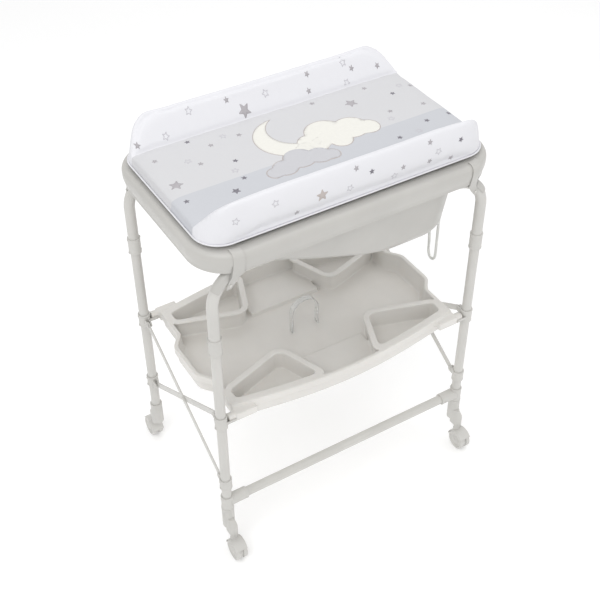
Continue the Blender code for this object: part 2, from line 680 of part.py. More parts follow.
def bracket_section(x):
    """(x, reach, z) points on the faces that the strap lies on, from the rim's top to the tube."""
    outside, _ = rim_profile()
    over_rim = [(BRACKET_REACH, RIM_TOP)] + list(reversed(outside))
    tube_front = LEG_Y + UPPER_RADIUS
    tail = ((0.90, 0.004, 0.0040, 0.882), (0.72, 0.012, 0.0016, 0.867), (0.5, 0.020, 0.0012, 0.853))
    path = [(x, rim_reach(x, inset), z) for inset, z in over_rim]
    path += [(BRACKET_X + (x - BRACKET_X) * taper + shift, tube_front + stand, z) for taper, shift, stand, z in tail]
    return path


def build_brackets(parent):
    stations = [BRACKET_X + BRACKET_WIDTH * (k / 3 - 0.5) for k in range(4)]
    for corner, (sx, sy) in CORNERS.items():
        rings = []
        for x in stations:
            section = bracket_section(x)
            flat = [(reach, z) for _, reach, z in section]
            inner = offset_path(flat, GAP)
            outer = offset_path(flat, GAP + BRACKET_THICKNESS)
            ring = [(p[0], q) for p, q in zip(section, inner)]
            ring += [(p[0], q) for p, q in reversed(list(zip(section, outer)))]
            rings.append([Vector((sx * px, sy * q.x, q.y)) for px, q in ring])
        bracket = add_object(f"{corner}_tub_bracket", skin(rings), "fitting", parent=parent)
        boolean(bracket, saddle(sx, sy), "UNION")


def saddle(sx, sy):
    """Quarter shell over the outer, upper side of the tube's bend, open below so that it lifts off."""
    inner = UPPER_RADIUS + GAP
    outer = inner + BRACKET_THICKNESS
    rings = []
    quarter = ROUND // 4
    for step in SADDLE_STEPS:
        bend = math.radians(90) * step / BEND_STEPS
        out = Vector((-math.cos(bend), 0, math.sin(bend)))
        axis = Vector((-(LEG_X - BEND_RADIUS), -LEG_Y, TUBE_LEVEL - BEND_RADIUS)) + BEND_RADIUS * out
        angles = [math.radians(90) * j / quarter for j in range(quarter + 1)]
        front = Vector((0, -1, 0))
        ring = [axis + outer * (math.cos(a) * front + math.sin(a) * out) for a in angles]
        ring += [axis + inner * (math.cos(a) * front + math.sin(a) * out) for a in reversed(angles)]
        rings.append([Vector((-sx * p.x, -sy * p.y, p.z)) for p in ring])
    return skin(rings)


def build_drain(tub_parent, plug_parent):
    top = TUB_BOTTOM + TUB_WALL - GAP
    edge = 0.0015
    profile = [(OUTLET_BODY - edge, -OUTLET_DEPTH), (OUTLET_BODY, -OUTLET_DEPTH + edge), (OUTLET_BODY, -0.0035),
               (OUTLET_FLANGE, -0.003), (OUTLET_FLANGE, -GAP), (DRAIN_HOLE - 0.0005, -GAP),
               (DRAIN_HOLE - 0.0005, top - TUB_BOTTOM), (OUTLET_BORE, top - TUB_BOTTOM),
               (OUTLET_BORE, -OUTLET_DEPTH + 0.002)]
    shape = turned((DRAIN_X, DRAIN_Y, TUB_BOTTOM), (0, 0, 1), profile, loop=False)
    outlet = add_object("drain_outlet", shape, "fitting", parent=tub_parent)
    start = Vector((DRAIN_X + OUTLET_BODY - 0.001, DRAIN_Y, nozzle_height()))
    end = Vector((DRAIN_X + NOZZLE_LENGTH, DRAIN_Y, nozzle_height()))
    boolean(outlet, rod(start, end, NOZZLE_RADIUS, SMALL_ROUND), "UNION")
    floor = TUB_WALL + GAP
    plug = [(PLUG_STEM - 0.001, -0.009), (PLUG_STEM, -0.008), (PLUG_STEM, floor), (PLUG_CAP, floor),
            (PLUG_CAP, floor + 0.002), (PLUG_CAP * 0.6, floor + 0.0045), (0.004, floor + 0.006),
            (0.004, floor + 0.012), (0.007, floor + 0.014), (0.007, floor + 0.018), (0.004, floor + 0.020)]
    shape = turned((DRAIN_X, DRAIN_Y, TUB_BOTTOM), (0, 0, 1), plug, loop=False)
    add_object("drain_plug", shape, "fitting", origin=plug_parent.location, parent=plug_parent)


def nozzle_height():
    return TUB_BOTTOM - OUTLET_DEPTH * 0.55


def hose_route():
    """Drain hose: out of the nozzle, down in a hanging loop, and up to its clip under the rim."""
    out = DRAIN_X + NOZZLE_LENGTH + GAP
    return [(out, -0.020, 0.7037), (0.297, -0.0202, 0.7036), (0.310, -0.0215, 0.7010), (0.322, -0.0255, 0.6920),
            (0.331, -0.0320, 0.6760), (0.337, -0.0395, 0.6540), (0.3395, -0.0450, 0.6280),
            (0.340, -0.0475, 0.6000), (0.340, -0.0480, 0.5750), (0.340, -0.0495, 0.5610),
            (0.340, -0.0550, 0.5515), (0.340, -0.0625, 0.5485), (0.340, -0.0700, 0.5515),
            (0.340, -0.0755, 0.5610), (0.340, -0.0770, 0.5750), (0.340, -0.0770, 0.6100),
            (0.340, -0.0770, 0.6600), (0.340, -0.0770, 0.7200), (0.340, -0.0770, 0.7800),
            (0.340, -0.0770, 0.8300), (0.340, -0.0770, HOSE_END_Z)]


def smooth_route(points, spacing):
    """Points every `spacing` along a Catmull-Rom curve through the route's own points."""
    route = [Vector(p) for p in points]
    route = [2 * route[0] - route[1]] + route + [2 * route[-1] - route[-2]]
    fine = []
    for a, b, c, d in zip(route, route[1:], route[2:], route[3:]):
        for k in range(12):
            t = k / 12
            fine.append(0.5 * (2 * b + (c - a) * t + (2 * a - 5 * b + 4 * c - d) * t * t
                               + (3 * b - a - 3 * c + d) * t ** 3))
    fine.append(route[-2])
    total = sum((q - p).length for p, q in zip(fine, fine[1:]))
    count = round(total / spacing)
    made = [fine[0]]
    walked = 0.0
    for p, q in zip(fine, fine[1:]):
        walked += (q - p).length
        if walked >= total * len(made) / count and len(made) < count:
            made.append(q)
    return made + [fine[-1]]


def build_hose(parent):
    curve = bpy.data.curves.new("drain_hose", "CURVE")
    curve.dimensions = "3D"
    curve.bevel_depth = HOSE_RADIUS
    curve.bevel_resolution = 2
    curve.use_fill_caps = True
    spline = curve.splines.new("POLY")
    points = smooth_route(hose_route(), HOSE_STEP)
    spline.points.add(len(points) - 1)
    for slot, point in zip(spline.points, points):
        slot.co = (*point, 1.0)
    hose = bpy.data.objects.new("drain_hose", curve)
    bpy.context.scene.collection.objects.link(hose)
    hose.parent = parent
    hose.location = -parent.location
    finish(hose, "hose_silicone")
    end = hose_route()[-1]
    clip_top = FLANGE_UNDER + 0.009
    profile = [(CLIP_RADIUS, end[2] + GAP), (CLIP_RADIUS, clip_top - 0.003), (CLIP_FLANGE, clip_top - 0.002),
               (CLIP_FLANGE, clip_top)]
    clip = turned((end[0], end[1], 0), (0, 0, 1), profile, loop=False)
    add_object("hose_clip", clip, "fitting", parent=parent)


# ============================================================================================
# changing pad
# ============================================================================================
def pad_section(x, rise):
    """Outline across the pad at `x`; `rise` is 1 where the wings have their full height."""
    inward = abs(x) - (PAD_X - PAD_CORNER)
    foot = PAD_Y if inward <= 0 else PAD_Y - PAD_CORNER + math.sqrt(max(PAD_CORNER ** 2 - inward ** 2, 0))
    fold = min(FOLD_Y, foot - 0.010)
    bottom = cushion_bottom()
    top = PAD_FLAT + (WING_TOP_Z - PAD_FLAT) * rise
    inner = fold + (WING_TOP_Y - WING_THICKNESS / 2 - FOLD_Y) * rise
    outer = min(inner + WING_THICKNESS, foot - 0.001)
    ease = 0.004 + 0.003 * rise
    half = [(foot - 0.003, bottom), (foot, bottom + 0.006), (foot, bottom + 0.018), (outer, top - ease),
            ((outer + inner) / 2, top), (inner, top - ease), (fold, PAD_FLAT)]
    return [Vector((x, y, z)) for y, z in half] + [Vector((x, -y, z)) for y, z in reversed(half)]


def cushion_bottom():
    return RIM_TOP + BOARD_THICKNESS + 2 * GAP


def build_pad(parent):
    ends = ((1.0, 0.02), (0.985, 0.12), (0.96, 0.33), (0.928, 0.58), (0.889, 0.82), (0.839, 0.96), (0.77, 1.0))
    stations = [(-PAD_X * share, rise) for share, rise in ends]
    stations += [(PAD_X * share, rise) for share, rise in reversed(ends)]
    shape = skin([pad_section(x, rise) for x, rise in stations])
    add_object("pad_cushion", shape, "pad_vinyl", origin=parent.location, parent=parent)
    half_x, half_y = PAD_X - BOARD_INSET, PAD_Y - BOARD_INSET
    low = RIM_TOP + GAP
    rings = [rounded_box(half_x, half_y, PAD_CORNER - BOARD_INSET, z) for z in (low, low + BOARD_THICKNESS)]
    add_object("pad_board", skin(rings), "board", origin=parent.location, parent=parent)


def build_hinges(tub_parent, pad_parent):
    for side, sx in (("left", -1), ("right", 1)):
        middle = Vector((sx * HINGE_X, HINGE_Y, HINGE_Z))
        mount = add_object(f"{side}_hinge_mount", hinge_mount(middle), "fitting", parent=tub_parent)
        reach = KNUCKLE_LENGTH / 2 + GAP + EAR_LENGTH
        for lean in (-1, 1):
            near = lean * (KNUCKLE_LENGTH / 2 + GAP)
            boolean(mount, hinge_ear(middle, near, lean * reach), "UNION")
        bore = rod(middle - Vector((reach * 1.2, 0, 0)), middle + Vector((reach * 1.2, 0, 0)),
                   HINGE_PIN + GAP, SMALL_ROUND)
        boolean(mount, bore, "DIFFERENCE")
        half = KNUCKLE_LENGTH / 2
        knuckle = rod(middle - Vector((half, 0, 0)), middle + Vector((half, 0, 0)), KNUCKLE_RADIUS, ROUND)
        leaf = add_object(f"{side}_hinge_leaf", knuckle, "fitting", origin=pad_parent.location, parent=pad_parent)
        board_edge = PAD_Y - BOARD_INSET + GAP
        low = RIM_TOP + 0.0006
        tab = 0.003
        inset = 0.0005
        plate = block((middle.x - half + inset, board_edge, low), (middle.x + half - inset, HINGE_Y, low + tab))
        boolean(leaf, plate, "UNION")
        riser = block((middle.x - half + 2 * inset, HINGE_Y - 0.005, low + inset),
                      (middle.x + half - 2 * inset, HINGE_Y - inset, HINGE_Z))
        boolean(leaf, riser, "UNION")
        pin = rod(middle - Vector((reach, 0, 0)), middle + Vector((reach, 0, 0)), HINGE_PIN, SMALL_ROUND)
        boolean(leaf, pin, "UNION")


def hinge_mount(middle):
    """Bar behind the knuckle that carries the two ears."""
    half = KNUCKLE_LENGTH / 2 + GAP + EAR_LENGTH * 0.5
    near = HINGE_Y + KNUCKLE_RADIUS + 0.0006
    return block((middle.x - half, near, RIM_TOP + 0.0008), (middle.x + half, near + 0.0042, HINGE_Z + 0.0045))


def hinge_ear(middle, near, far):
    radius = KNUCKLE_RADIUS
    low = RIM_TOP + 0.0005
    back = HINGE_Y + KNUCKLE_RADIUS + 0.0025
    outline = [(0, back, low), (0, back, HINGE_Z + radius * 0.5)]
    outline += [(0, HINGE_Y + radius * math.cos(a), HINGE_Z + radius * math.sin(a))
                for a in (math.radians(60 + 30 * k) for k in range(5))]
    outline.append((0, HINGE_Y - radius, low))
    return prism(outline, (middle.x + near, 0, 0), (far - near, 0, 0))


# ============================================================================================
# shelf tray
# ============================================================================================
def tray_outline(inset, z):
    """Boat-shaped outline: long edges curve outward, and each end has a lobe."""
    scale_x = (TRAY_X - inset) / TRAY_X
    scale_y = (TRAY_Y + TRAY_BULGE_Y - inset) / (TRAY_Y + TRAY_BULGE_Y)
    edge = []
    for k in range(9):
        x = -TRAY_X + 2 * TRAY_X * k / 8
        edge.append((x, -(TRAY_Y + TRAY_BULGE_Y * math.cos(math.pi * x / (2 * TRAY_X)))))
    end = []
    for share in (-1.6, -1.25, -0.95, -0.5, 0.5, 0.95, 1.25, 1.6):
        blend = min(max((1.6 - abs(share)) / 0.8, 0.0), 1.0)
        blend = blend * blend * (3 - 2 * blend)
        end.append((TRAY_X + TRAY_LOBE_X * blend, share * TRAY_LOBE_Y))
    outline = edge + end + [(-x, -y) for x, y in edge] + [(-x, -y) for x, y in end]
    return [Vector((x * scale_x, y * scale_y, z)) for x, y in outline]


def pocket_outline(grow):
    """Corner pocket in the +X, +Y quarter; `grow` moves its sides outward."""
    edge_y = [TRAY_Y + TRAY_BULGE_Y * math.cos(math.pi * x / (2 * TRAY_X)) - POCKET_INSET
              for x in (POCKET_TIP_X, (POCKET_TIP_X + POCKET_END_X) / 2, POCKET_END_X)]
    corners = [Vector(POCKET_APEX), Vector((POCKET_END_X, POCKET_END_Y)), Vector((POCKET_END_X, edge_y[2])),
               Vector(((POCKET_TIP_X + POCKET_END_X) / 2, edge_y[1])), Vector((POCKET_TIP_X, edge_y[0]))]
    if not grow:
        return corners
    grown = []
    for i, here in enumerate(corners):
        before = (here - corners[i - 1]).normalized()
        after = (corners[(i + 1) % len(corners)] - here).normalized()
        normal = Vector((before.y + after.y, -before.x - after.x)).normalized()
        cosine = normal.dot(Vector((before.y, -before.x)))
        grown.append(here + normal * grow / max(cosine, 0.5))
    return grown


def pocket_prism(quarter, grow, low, high):
    sx, sy = quarter
    outline = rounded(pocket_outline(grow), 0.010 + grow, 2)
    return prism([(sx * p.x, sy * p.y, low) for p in outline], (0, 0, 0), (0, 0, high - low))


def build_tray(parent):
    bottom = TRAY_TOP - TRAY_DEPTH
    floor = bottom + TRAY_FLOOR
    rings = [tray_outline(TRAY_TUCK, bottom), tray_outline(TRAY_TUCK * 0.6, bottom + 0.008),
             tray_outline(TRAY_LIP * 0.45, TRAY_TOP - TRAY_SKIRT + 0.002),
             tray_outline(0.0, TRAY_TOP - TRAY_SKIRT), tray_outline(0.0, TRAY_TOP - 0.002),
             tray_outline(0.0015, TRAY_TOP)]
    tray = add_object("shelf_tray", skin(rings), "tray_plastic", origin=parent.location, parent=parent)
    hollow = skin([tray_outline(TRAY_TUCK + 0.006, floor), tray_outline(TRAY_TUCK + 0.003, floor + 0.006),
                   tray_outline(TRAY_LIP, TRAY_TOP - 0.010), tray_outline(TRAY_LIP, TRAY_TOP + 0.010)])
    boolean(tray, hollow, "DIFFERENCE")
    for quarter in CORNERS.values():
        boolean(tray, pocket_prism(quarter, POCKET_WALL, floor - 0.002, TRAY_TOP - 0.0008), "UNION")
        band = pocket_prism(quarter, POCKET_RIM, TRAY_TOP - POCKET_RIM_DEPTH, TRAY_TOP - 0.0004)
        boolean(tray, band, "UNION")
    for sy in (-1, 1):
        far = TRAY_Y + TRAY_BULGE_Y - TRAY_TUCK - 0.006
        low, high = sorted((sy * STEP_Y, sy * far))
        step = block((-STEP_X, low, floor - 0.001), (STEP_X, high, floor + STEP_HEIGHT))
        boolean(tray, step, "UNION")
    for quarter in CORNERS.values():
        boolean(tray, pocket_prism(quarter, 0.0, floor + 0.003, TRAY_TOP + 0.010), "DIFFERENCE")
    for sx, sy in CORNERS.values():
        low, high = sorted((sy * (TRAY_Y - TRAY_LIP * 0.6), sy * (LEG_Y + STUB_RADIUS)))
        x_low, x_high = sorted((sx * LUG_FROM, sx * LUG_TO))
        lug = block((x_low, low, stub_height() - STUB_RADIUS), (x_high, high, stub_height() + STUB_RADIUS))
        boolean(tray, lug, "UNION")
        ends = [(sx * x, sy * LEG_Y, stub_height()) for x in (LUG_TO - 0.004, LEG_X - STUB_END)]
        boolean(tray, rod(*ends, STUB_RADIUS - 0.0002, ROUND), "UNION")
    build_hoop(floor, parent)


def build_hoop(floor, parent):
    """Clear arch that stands on the tray's floor and holds a bottle."""
    foot = floor + GAP
    spring = HOOP_TOP - HOOP_RADIUS
    inner = HOOP_RADIUS - HOOP_WALL
    angles = [math.pi * k / 12 for k in range(13)]
    outline = [(HOOP_X + HOOP_RADIUS, 0, foot)]
    outline += [(HOOP_X + HOOP_RADIUS * math.cos(a), 0, spring + HOOP_RADIUS * math.sin(a)) for a in angles]
    outline += [(HOOP_X - HOOP_RADIUS, 0, foot), (HOOP_X - inner, 0, foot)]
    outline += [(HOOP_X + inner * math.cos(a), 0, spring + inner * math.sin(a)) for a in reversed(angles)]
    outline.append((HOOP_X + inner, 0, foot))
    arch = prism(outline, (0, -HOOP_WIDTH / 2, 0), (0, HOOP_WIDTH, 0))
    add_object("bottle_hoop", arch, "clear_plastic", origin=parent.location, parent=parent)


def main():
    clear_scene()
    build_upper_tubes()
    build_legs()
    build_sleeves()
    build_collars()
    build_tees_and_bar()
    build_braces()
    build_feet()
    build_casters()
    tub_lift = add_empty("tub_lift", (0, 0, RIM_TOP))
    build_tub(tub_lift)
    build_brackets(tub_lift)
    build_drain(tub_lift, add_empty("plug_lift", (DRAIN_X, DRAIN_Y, TUB_BOTTOM)))
    build_hose(tub_lift)
    pad_hinge = add_empty("pad_hinge", (0, HINGE_Y, HINGE_Z))
    build_pad(pad_hinge)
    build_hinges(tub_lift, pad_hinge)
    build_tray(add_empty("shelf_lift", (0, 0, TRAY_TOP)))


main()
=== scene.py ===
"""Looks of the changing table: fine surfaces, a cushion, printed stars, materials, light and a camera.

Units are metres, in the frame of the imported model: X along the length, Y to the rear, Z up.
"""

import math

import bmesh
import bpy
from mathutils import Matrix, Vector, noise
from mathutils.bvhtree import BVHTree


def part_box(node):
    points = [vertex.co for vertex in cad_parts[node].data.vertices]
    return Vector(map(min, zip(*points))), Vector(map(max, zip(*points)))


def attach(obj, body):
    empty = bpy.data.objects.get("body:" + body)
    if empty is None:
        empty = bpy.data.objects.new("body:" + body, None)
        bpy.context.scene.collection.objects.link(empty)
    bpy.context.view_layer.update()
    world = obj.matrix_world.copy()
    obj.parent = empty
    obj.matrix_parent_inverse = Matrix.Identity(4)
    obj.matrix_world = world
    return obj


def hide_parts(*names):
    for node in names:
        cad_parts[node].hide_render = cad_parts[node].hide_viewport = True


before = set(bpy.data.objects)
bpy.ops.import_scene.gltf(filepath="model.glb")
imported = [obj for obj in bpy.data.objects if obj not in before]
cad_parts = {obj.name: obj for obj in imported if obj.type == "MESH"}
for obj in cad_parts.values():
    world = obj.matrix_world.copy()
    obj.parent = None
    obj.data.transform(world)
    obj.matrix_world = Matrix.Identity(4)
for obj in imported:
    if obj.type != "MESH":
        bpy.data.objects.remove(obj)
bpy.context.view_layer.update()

CORNERS = {"front_left": (-1, -1), "front_right": (1, -1), "rear_left": (-1, 1), "rear_right": (1, 1)}
GAP = 0.0003
FINE = 48                  # sides of round pieces that show well
FAIR = 28                  # sides of small round pieces
ARC = 14                   # points in a large rounded corner


# ============================================================================================
# mesh helpers
# ============================================================================================
def skin(rings, loop=False):
    """Closed mesh over rings with the same number of points; `loop` joins the last to the first."""
    bm = bmesh.new()
    rows = [[bm.verts.new(point) for point in ring] for ring in rings]
    count = len(rows[0])
    pairs = list(zip(rows, rows[1:]))
    if loop:
        pairs.append((rows[-1], rows[0]))
    for lower, upper in pairs:
        for i in range(count):
            j = (i + 1) % count
            bm.faces.new((lower[i], lower[j], upper[j], upper[i]))
    if not loop:
        bm.faces.new(list(reversed(rows[0])))
        bm.faces.new(rows[-1])
    return bm


def frame_along(direction):
    """Two unit vectors square to `direction`."""
    direction = Vector(direction).normalized()
    helper = Vector((1, 0, 0)) if abs(direction.x) < 0.9 else Vector((0, 1, 0))
    across = direction.cross(helper).normalized()
    return across, direction.cross(across)


def ring_at(centre, direction, radius, sides):
    across, other = frame_along(direction)
    angles = (2 * math.pi * i / sides for i in range(sides))
    return [Vector(centre) + radius * (math.cos(a) * across + math.sin(a) * other) for a in angles]


def turned(base, axis, profile, sides=FINE, loop=True):
    """Turn (radius, height) points about an axis; `loop` is for a profile clear of the axis."""
    axis = Vector(axis).normalized()
    rings = [ring_at(Vector(base) + axis * height, axis, radius, sides) for radius, height in profile]
    return skin(rings, loop)


def rounded(points, radius, steps=5):
    """Round the corners of a closed 2-D outline; `radius` is one value or one for each corner."""
    radii = radius if isinstance(radius, (list, tuple)) else [radius] * len(points)
    made = []
    for i, (corner, r) in enumerate(zip(points, radii)):
        here = Vector(corner)
        if r <= 0:
            made.append(here)
            continue
        before = Vector(points[i - 1]) - here
        after = Vector(points[(i + 1) % len(points)]) - here
        half = before.angle(after) / 2
        reach = min(r / math.tan(half), before.length * 0.48, after.length * 0.48)
        r = reach * math.tan(half)
        centre = here + (before.normalized() + after.normalized()).normalized() * (r / math.sin(half))
        first = (here + before.normalized() * reach) - centre
        last = (here + after.normalized() * reach) - centre
        sweep = first.angle_signed(last)
        for k in range(steps + 1):
            made.append(centre + Matrix.Rotation(-sweep * k / steps, 2) @ first)
    return made


def lathe(base, axis, outline, radius, sides=FINE):
    """Turn a closed (radius, height) outline whose corners are rounded."""
    return turned(base, axis, [tuple(p) for p in rounded(outline, radius, 4)], sides, loop=True)


def rod(start, end, radius, sides=FINE, edge=0.0):
    """Round bar; `edge` rounds its ends."""
    axis = Vector(end) - Vector(start)
    length = axis.length
    profile = [(radius, 0), (radius, length)]
    if edge:
        steps = [math.radians(15 * k) for k in range(7)]
        near = [(radius - edge * (1 - math.sin(a)), edge * (1 - math.cos(a))) for a in steps]
        profile = near + [(r, length - h) for r, h in reversed(near)]
    return turned(start, axis, profile, sides, loop=False)


def prism(outline, start, extent):
    """Extrude a list of 3-D points by the vector `extent` from `start`."""
    lower = [Vector(start) + Vector(p) for p in outline]
    upper = [p + Vector(extent) for p in lower]
    return skin([lower, upper])


def block(low, high):
    outline = [(low[0], low[1], low[2]), (high[0], low[1], low[2]),
               (high[0], high[1], low[2]), (low[0], high[1], low[2])]
    return prism(outline, (0, 0, 0), (0, 0, high[2] - low[2]))


def rounded_box(half_x, half_y, radius, z, shift=0.0, steps=ARC):
    corners = [(-half_x, -half_y), (half_x, -half_y), (half_x, half_y), (-half_x, half_y)]
    return [Vector((p.x + shift, p.y, z)) for p in rounded(corners, radius, steps)]


def join(*parts):
    """Put several bmeshes into one, each with its faces pointing out."""
    whole = bmesh.new()
    for part in parts:
        bmesh.ops.recalc_face_normals(part, faces=part.faces)
        mesh = bpy.data.meshes.new("part")
        part.to_mesh(mesh)
        part.free()
        whole.from_mesh(mesh)
        bpy.data.meshes.remove(mesh)
    return whole


def link(name, bm):
    bmesh.ops.recalc_face_normals(bm, faces=bm.faces)
    mesh = bpy.data.meshes.new(name)
    bm.to_mesh(mesh)
    bm.free()
    smooth(mesh, 40)
    obj = bpy.data.objects.new(name, mesh)
    bpy.context.scene.collection.objects.link(obj)
    return obj


def apply_modifiers(obj):
    bpy.context.view_layer.update()
    shape = obj.evaluated_get(bpy.context.evaluated_depsgraph_get())
    mesh = bpy.data.meshes.new_from_object(shape)
    obj.modifiers.clear()
    obj.data = mesh
    return obj


def combine(obj, bm, operation):
    """Join `bm` to `obj` or cut it away, at once."""
    tool = link("tool", bm)
    modifier = obj.modifiers.new(operation, "BOOLEAN")
    modifier.operation = operation
    modifier.solver = "EXACT"
    modifier.object = tool
    apply_modifiers(obj)
    bpy.data.objects.remove(tool)
    return obj


def bevel(obj, width, segments=3, angle=40):
    modifier = obj.modifiers.new("bevel", "BEVEL")
    modifier.width = width
    modifier.segments = segments
    modifier.limit_method = "ANGLE"
    modifier.angle_limit = math.radians(angle)
    modifier.harden_normals = False
    return obj


def smooth(mesh, degrees):
    mesh.shade_smooth()
    mesh.set_sharp_from_angle(angle=math.radians(degrees))


def show(obj, look, body, slot, *nodes):
    """Give a piece its material and its body, and hide the CAD nodes that it stands for; `slot` is not used.
    """
    obj.data.materials.clear()
    obj.data.materials.append(look)
    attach(obj, body)
    if nodes:
        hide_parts(*nodes)
    return obj


def span(node):
    """Lowest corner, highest corner and middle of a CAD node."""
    low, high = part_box(node)
    return low, high, (low + high) / 2


# ============================================================================================
# materials
# ============================================================================================
class Look:
    """A node material with a Principled shader, built from small steps."""

    def __init__(self, name, roughness, metallic=0.0):
        self.material = bpy.data.materials.new(name)
        self.material.use_nodes = True
        self.tree = self.material.node_tree
        self.shader = self.tree.nodes["Principled BSDF"]
        self.shader.inputs["Roughness"].default_value = roughness
        self.shader.inputs["Metallic"].default_value = metallic
        self.place = self.tree.nodes.new("ShaderNodeTexCoord").outputs["Object"]

    def value(self, name, amount):
        self.shader.inputs[name].default_value = amount

    def noise(self, scale, detail=3.0, rough=0.5):
        node = self.tree.nodes.new("ShaderNodeTexNoise")
        node.inputs["Scale"].default_value = scale
        node.inputs["Detail"].default_value = detail
        node.inputs["Roughness"].default_value = rough
        self.tree.links.new(self.place, node.inputs["Vector"])
        return node.outputs["Fac"]

    def cells(self, scale):
        node = self.tree.nodes.new("ShaderNodeTexVoronoi")
        node.feature = "SMOOTH_F1"
        node.inputs["Scale"].default_value = scale
        self.tree.links.new(self.place, node.inputs["Vector"])
        return node.outputs["Distance"]

    def math(self, operation, *values):
        node = self.tree.nodes.new("ShaderNodeMath")
        node.operation = operation
        for slot, value in zip(node.inputs, values):
            if isinstance(value, (int, float)):
                slot.default_value = value
            else:
                self.tree.links.new(value, slot)
        return node.outputs[0]

    def ramp(self, source, low, high, from_low=0.3, from_high=0.7):
        node = self.tree.nodes.new("ShaderNodeMapRange")
        self.tree.links.new(source, node.inputs["Value"])
        limits = {"From Min": from_low, "From Max": from_high, "To Min": low, "To Max": high}
        for name, amount in limits.items():
            node.inputs[name].default_value = amount
        return node.outputs["Result"]

    def mix(self, share, first, second):
        node = self.tree.nodes.new("ShaderNodeMix")
        node.data_type = "RGBA"
        self.tree.links.new(share, node.inputs["Factor"])
        for name, colour in (("A", first), ("B", second)):
            slot = next(s for s in node.inputs if s.name == name and s.type == "RGBA")
            if isinstance(colour, tuple):
                slot.default_value = (*colour, 1.0)
            else:
                self.tree.links.new(colour, slot)
        return next(s for s in node.outputs if s.type == "RGBA")

    def colour(self, source):
        self.tree.links.new(source, self.shader.inputs["Base Color"])

    def roughness(self, source):
        self.tree.links.new(source, self.shader.inputs["Roughness"])

    def bump(self, *layers):
        """Each layer is (source, strength, distance); they add up."""
        last = None
        for source, strength, distance in layers:
            node = self.tree.nodes.new("ShaderNodeBump")
            node.inputs["Strength"].default_value = strength
            node.inputs["Distance"].default_value = distance
            self.tree.links.new(source, node.inputs["Height"])
            if last:
                self.tree.links.new(last, node.inputs["Normal"])
            last = node.outputs["Normal"]
        self.tree.links.new(last, self.shader.inputs["Normal"])


def shaded(colour, amount):
    return tuple(min(c * amount, 1.0) for c in colour)


def painted_metal(name, colour):
    """Powder coat on steel: fine orange peel, and gloss that varies softly."""
    look = Look(name, 0.36)
    look.colour(look.mix(look.ramp(look.noise(9.0), 0, 1), shaded(colour, 0.955), shaded(colour, 1.03)))
    look.roughness(look.ramp(look.noise(30.0), 0.31, 0.43))
    look.bump((look.noise(900.0, 2.0), 0.10, 0.0004), (look.noise(120.0), 0.06, 0.0006))
    look.value("Coat Weight", 0.15)
    look.value("Coat Roughness", 0.25)
    return look.material


def moulded_plastic(name, colour, roughness, grain=0.12, subsurface=0.0):
    """Injection-moulded plastic: spark-eroded grain, faint flow marks and slightly uneven colour."""
    look = Look(name, roughness)
    flow = look.noise(6.0, 5.0, 0.6)
    look.colour(look.mix(look.ramp(flow, 0, 1), shaded(colour, 0.95), shaded(colour, 1.03)))
    look.roughness(look.ramp(look.noise(45.0, 4.0), roughness - 0.05, roughness + 0.07))
    look.bump((look.noise(520.0, 2.0), grain, 0.0002), (look.noise(9.0), 0.06, 0.0015))
    look.value("Specular IOR Level", 0.5)
    if subsurface:
        look.value("Subsurface Weight", subsurface)
        look.value("Subsurface Radius", (0.006, 0.005, 0.004))
        look.value("Subsurface Scale", 1.0)
    return look.material


def vinyl_bump(look):
    look.bump((look.cells(2100.0), 0.16, 0.0002), (look.noise(2600.0, 2.0), 0.10, 0.0002),
              (look.noise(26.0, 4.0), 0.16, 0.0022))
    look.value("Sheen Weight", 0.06)
    look.value("Sheen Roughness", 0.5)


def pad_vinyl():
    """Coated cloth: white raised sides, a grey flat and a blue-grey stripe, printed in bands along X."""
    look = Look("pad_vinyl", 0.5)
    split = look.tree.nodes.new("ShaderNodeSeparateXYZ")
    look.tree.links.new(look.place, split.inputs[0])
    y = split.outputs["Y"]
    sharp = 0.0006
    on_flat = look.math("MULTIPLY", look.ramp(y, 1, 0, FOLD_Y - sharp, FOLD_Y + sharp),
                        look.ramp(y, 0, 1, -FOLD_Y - sharp, -FOLD_Y + sharp))
    in_stripe = look.ramp(y, 1, 0, STRIPE_Y - sharp, STRIPE_Y + sharp)
    patch = look.ramp(look.noise(11.0, 4.0), 0, 1)
    flat = look.mix(in_stripe, PAD_GREY, PAD_STRIPE)
    printed = look.mix(on_flat, PAD_WHITE, flat)
    worn = look.mix(look.math("MULTIPLY", patch, 0.05), printed, (0.55, 0.55, 0.57))
    look.colour(worn)
    look.roughness(look.ramp(look.noise(60.0, 4.0), 0.44, 0.58))
    vinyl_bump(look)
    return look.material


def print_ink(name, colour):
    """Ink on the coated cloth, a little worn."""
    look = Look(name, 0.52)
    worn = look.ramp(look.noise(160.0, 4.0), 0, 1)
    look.colour(look.mix(worn, shaded(colour, 0.985), shaded(colour, 1.015)))
    vinyl_bump(look)
    return look.material


def clear_plastic():
    look = Look("clear_plastic", 0.06)
    look.colour(look.mix(look.ramp(look.noise(20.0), 0, 1), (0.93, 0.95, 0.95), (0.98, 0.98, 0.98)))
    look.value("Transmission Weight", 0.80)
    look.value("IOR", 1.49)
    look.bump((look.noise(60.0), 0.05, 0.0005))
    return look.material


def silicone():
    look = Look("hose_silicone", 0.38)
    look.colour(look.mix(look.ramp(look.noise(40.0), 0, 1), (0.80, 0.81, 0.78), (0.90, 0.90, 0.87)))
    look.value("Transmission Weight", 0.35)
    look.value("IOR", 1.41)
    look.value("Subsurface Weight", 0.25)
    look.value("Subsurface Radius", (0.004, 0.004, 0.004))
    look.value("Subsurface Scale", 1.0)
    look.bump((look.noise(300.0), 0.08, 0.0003))
    return look.material


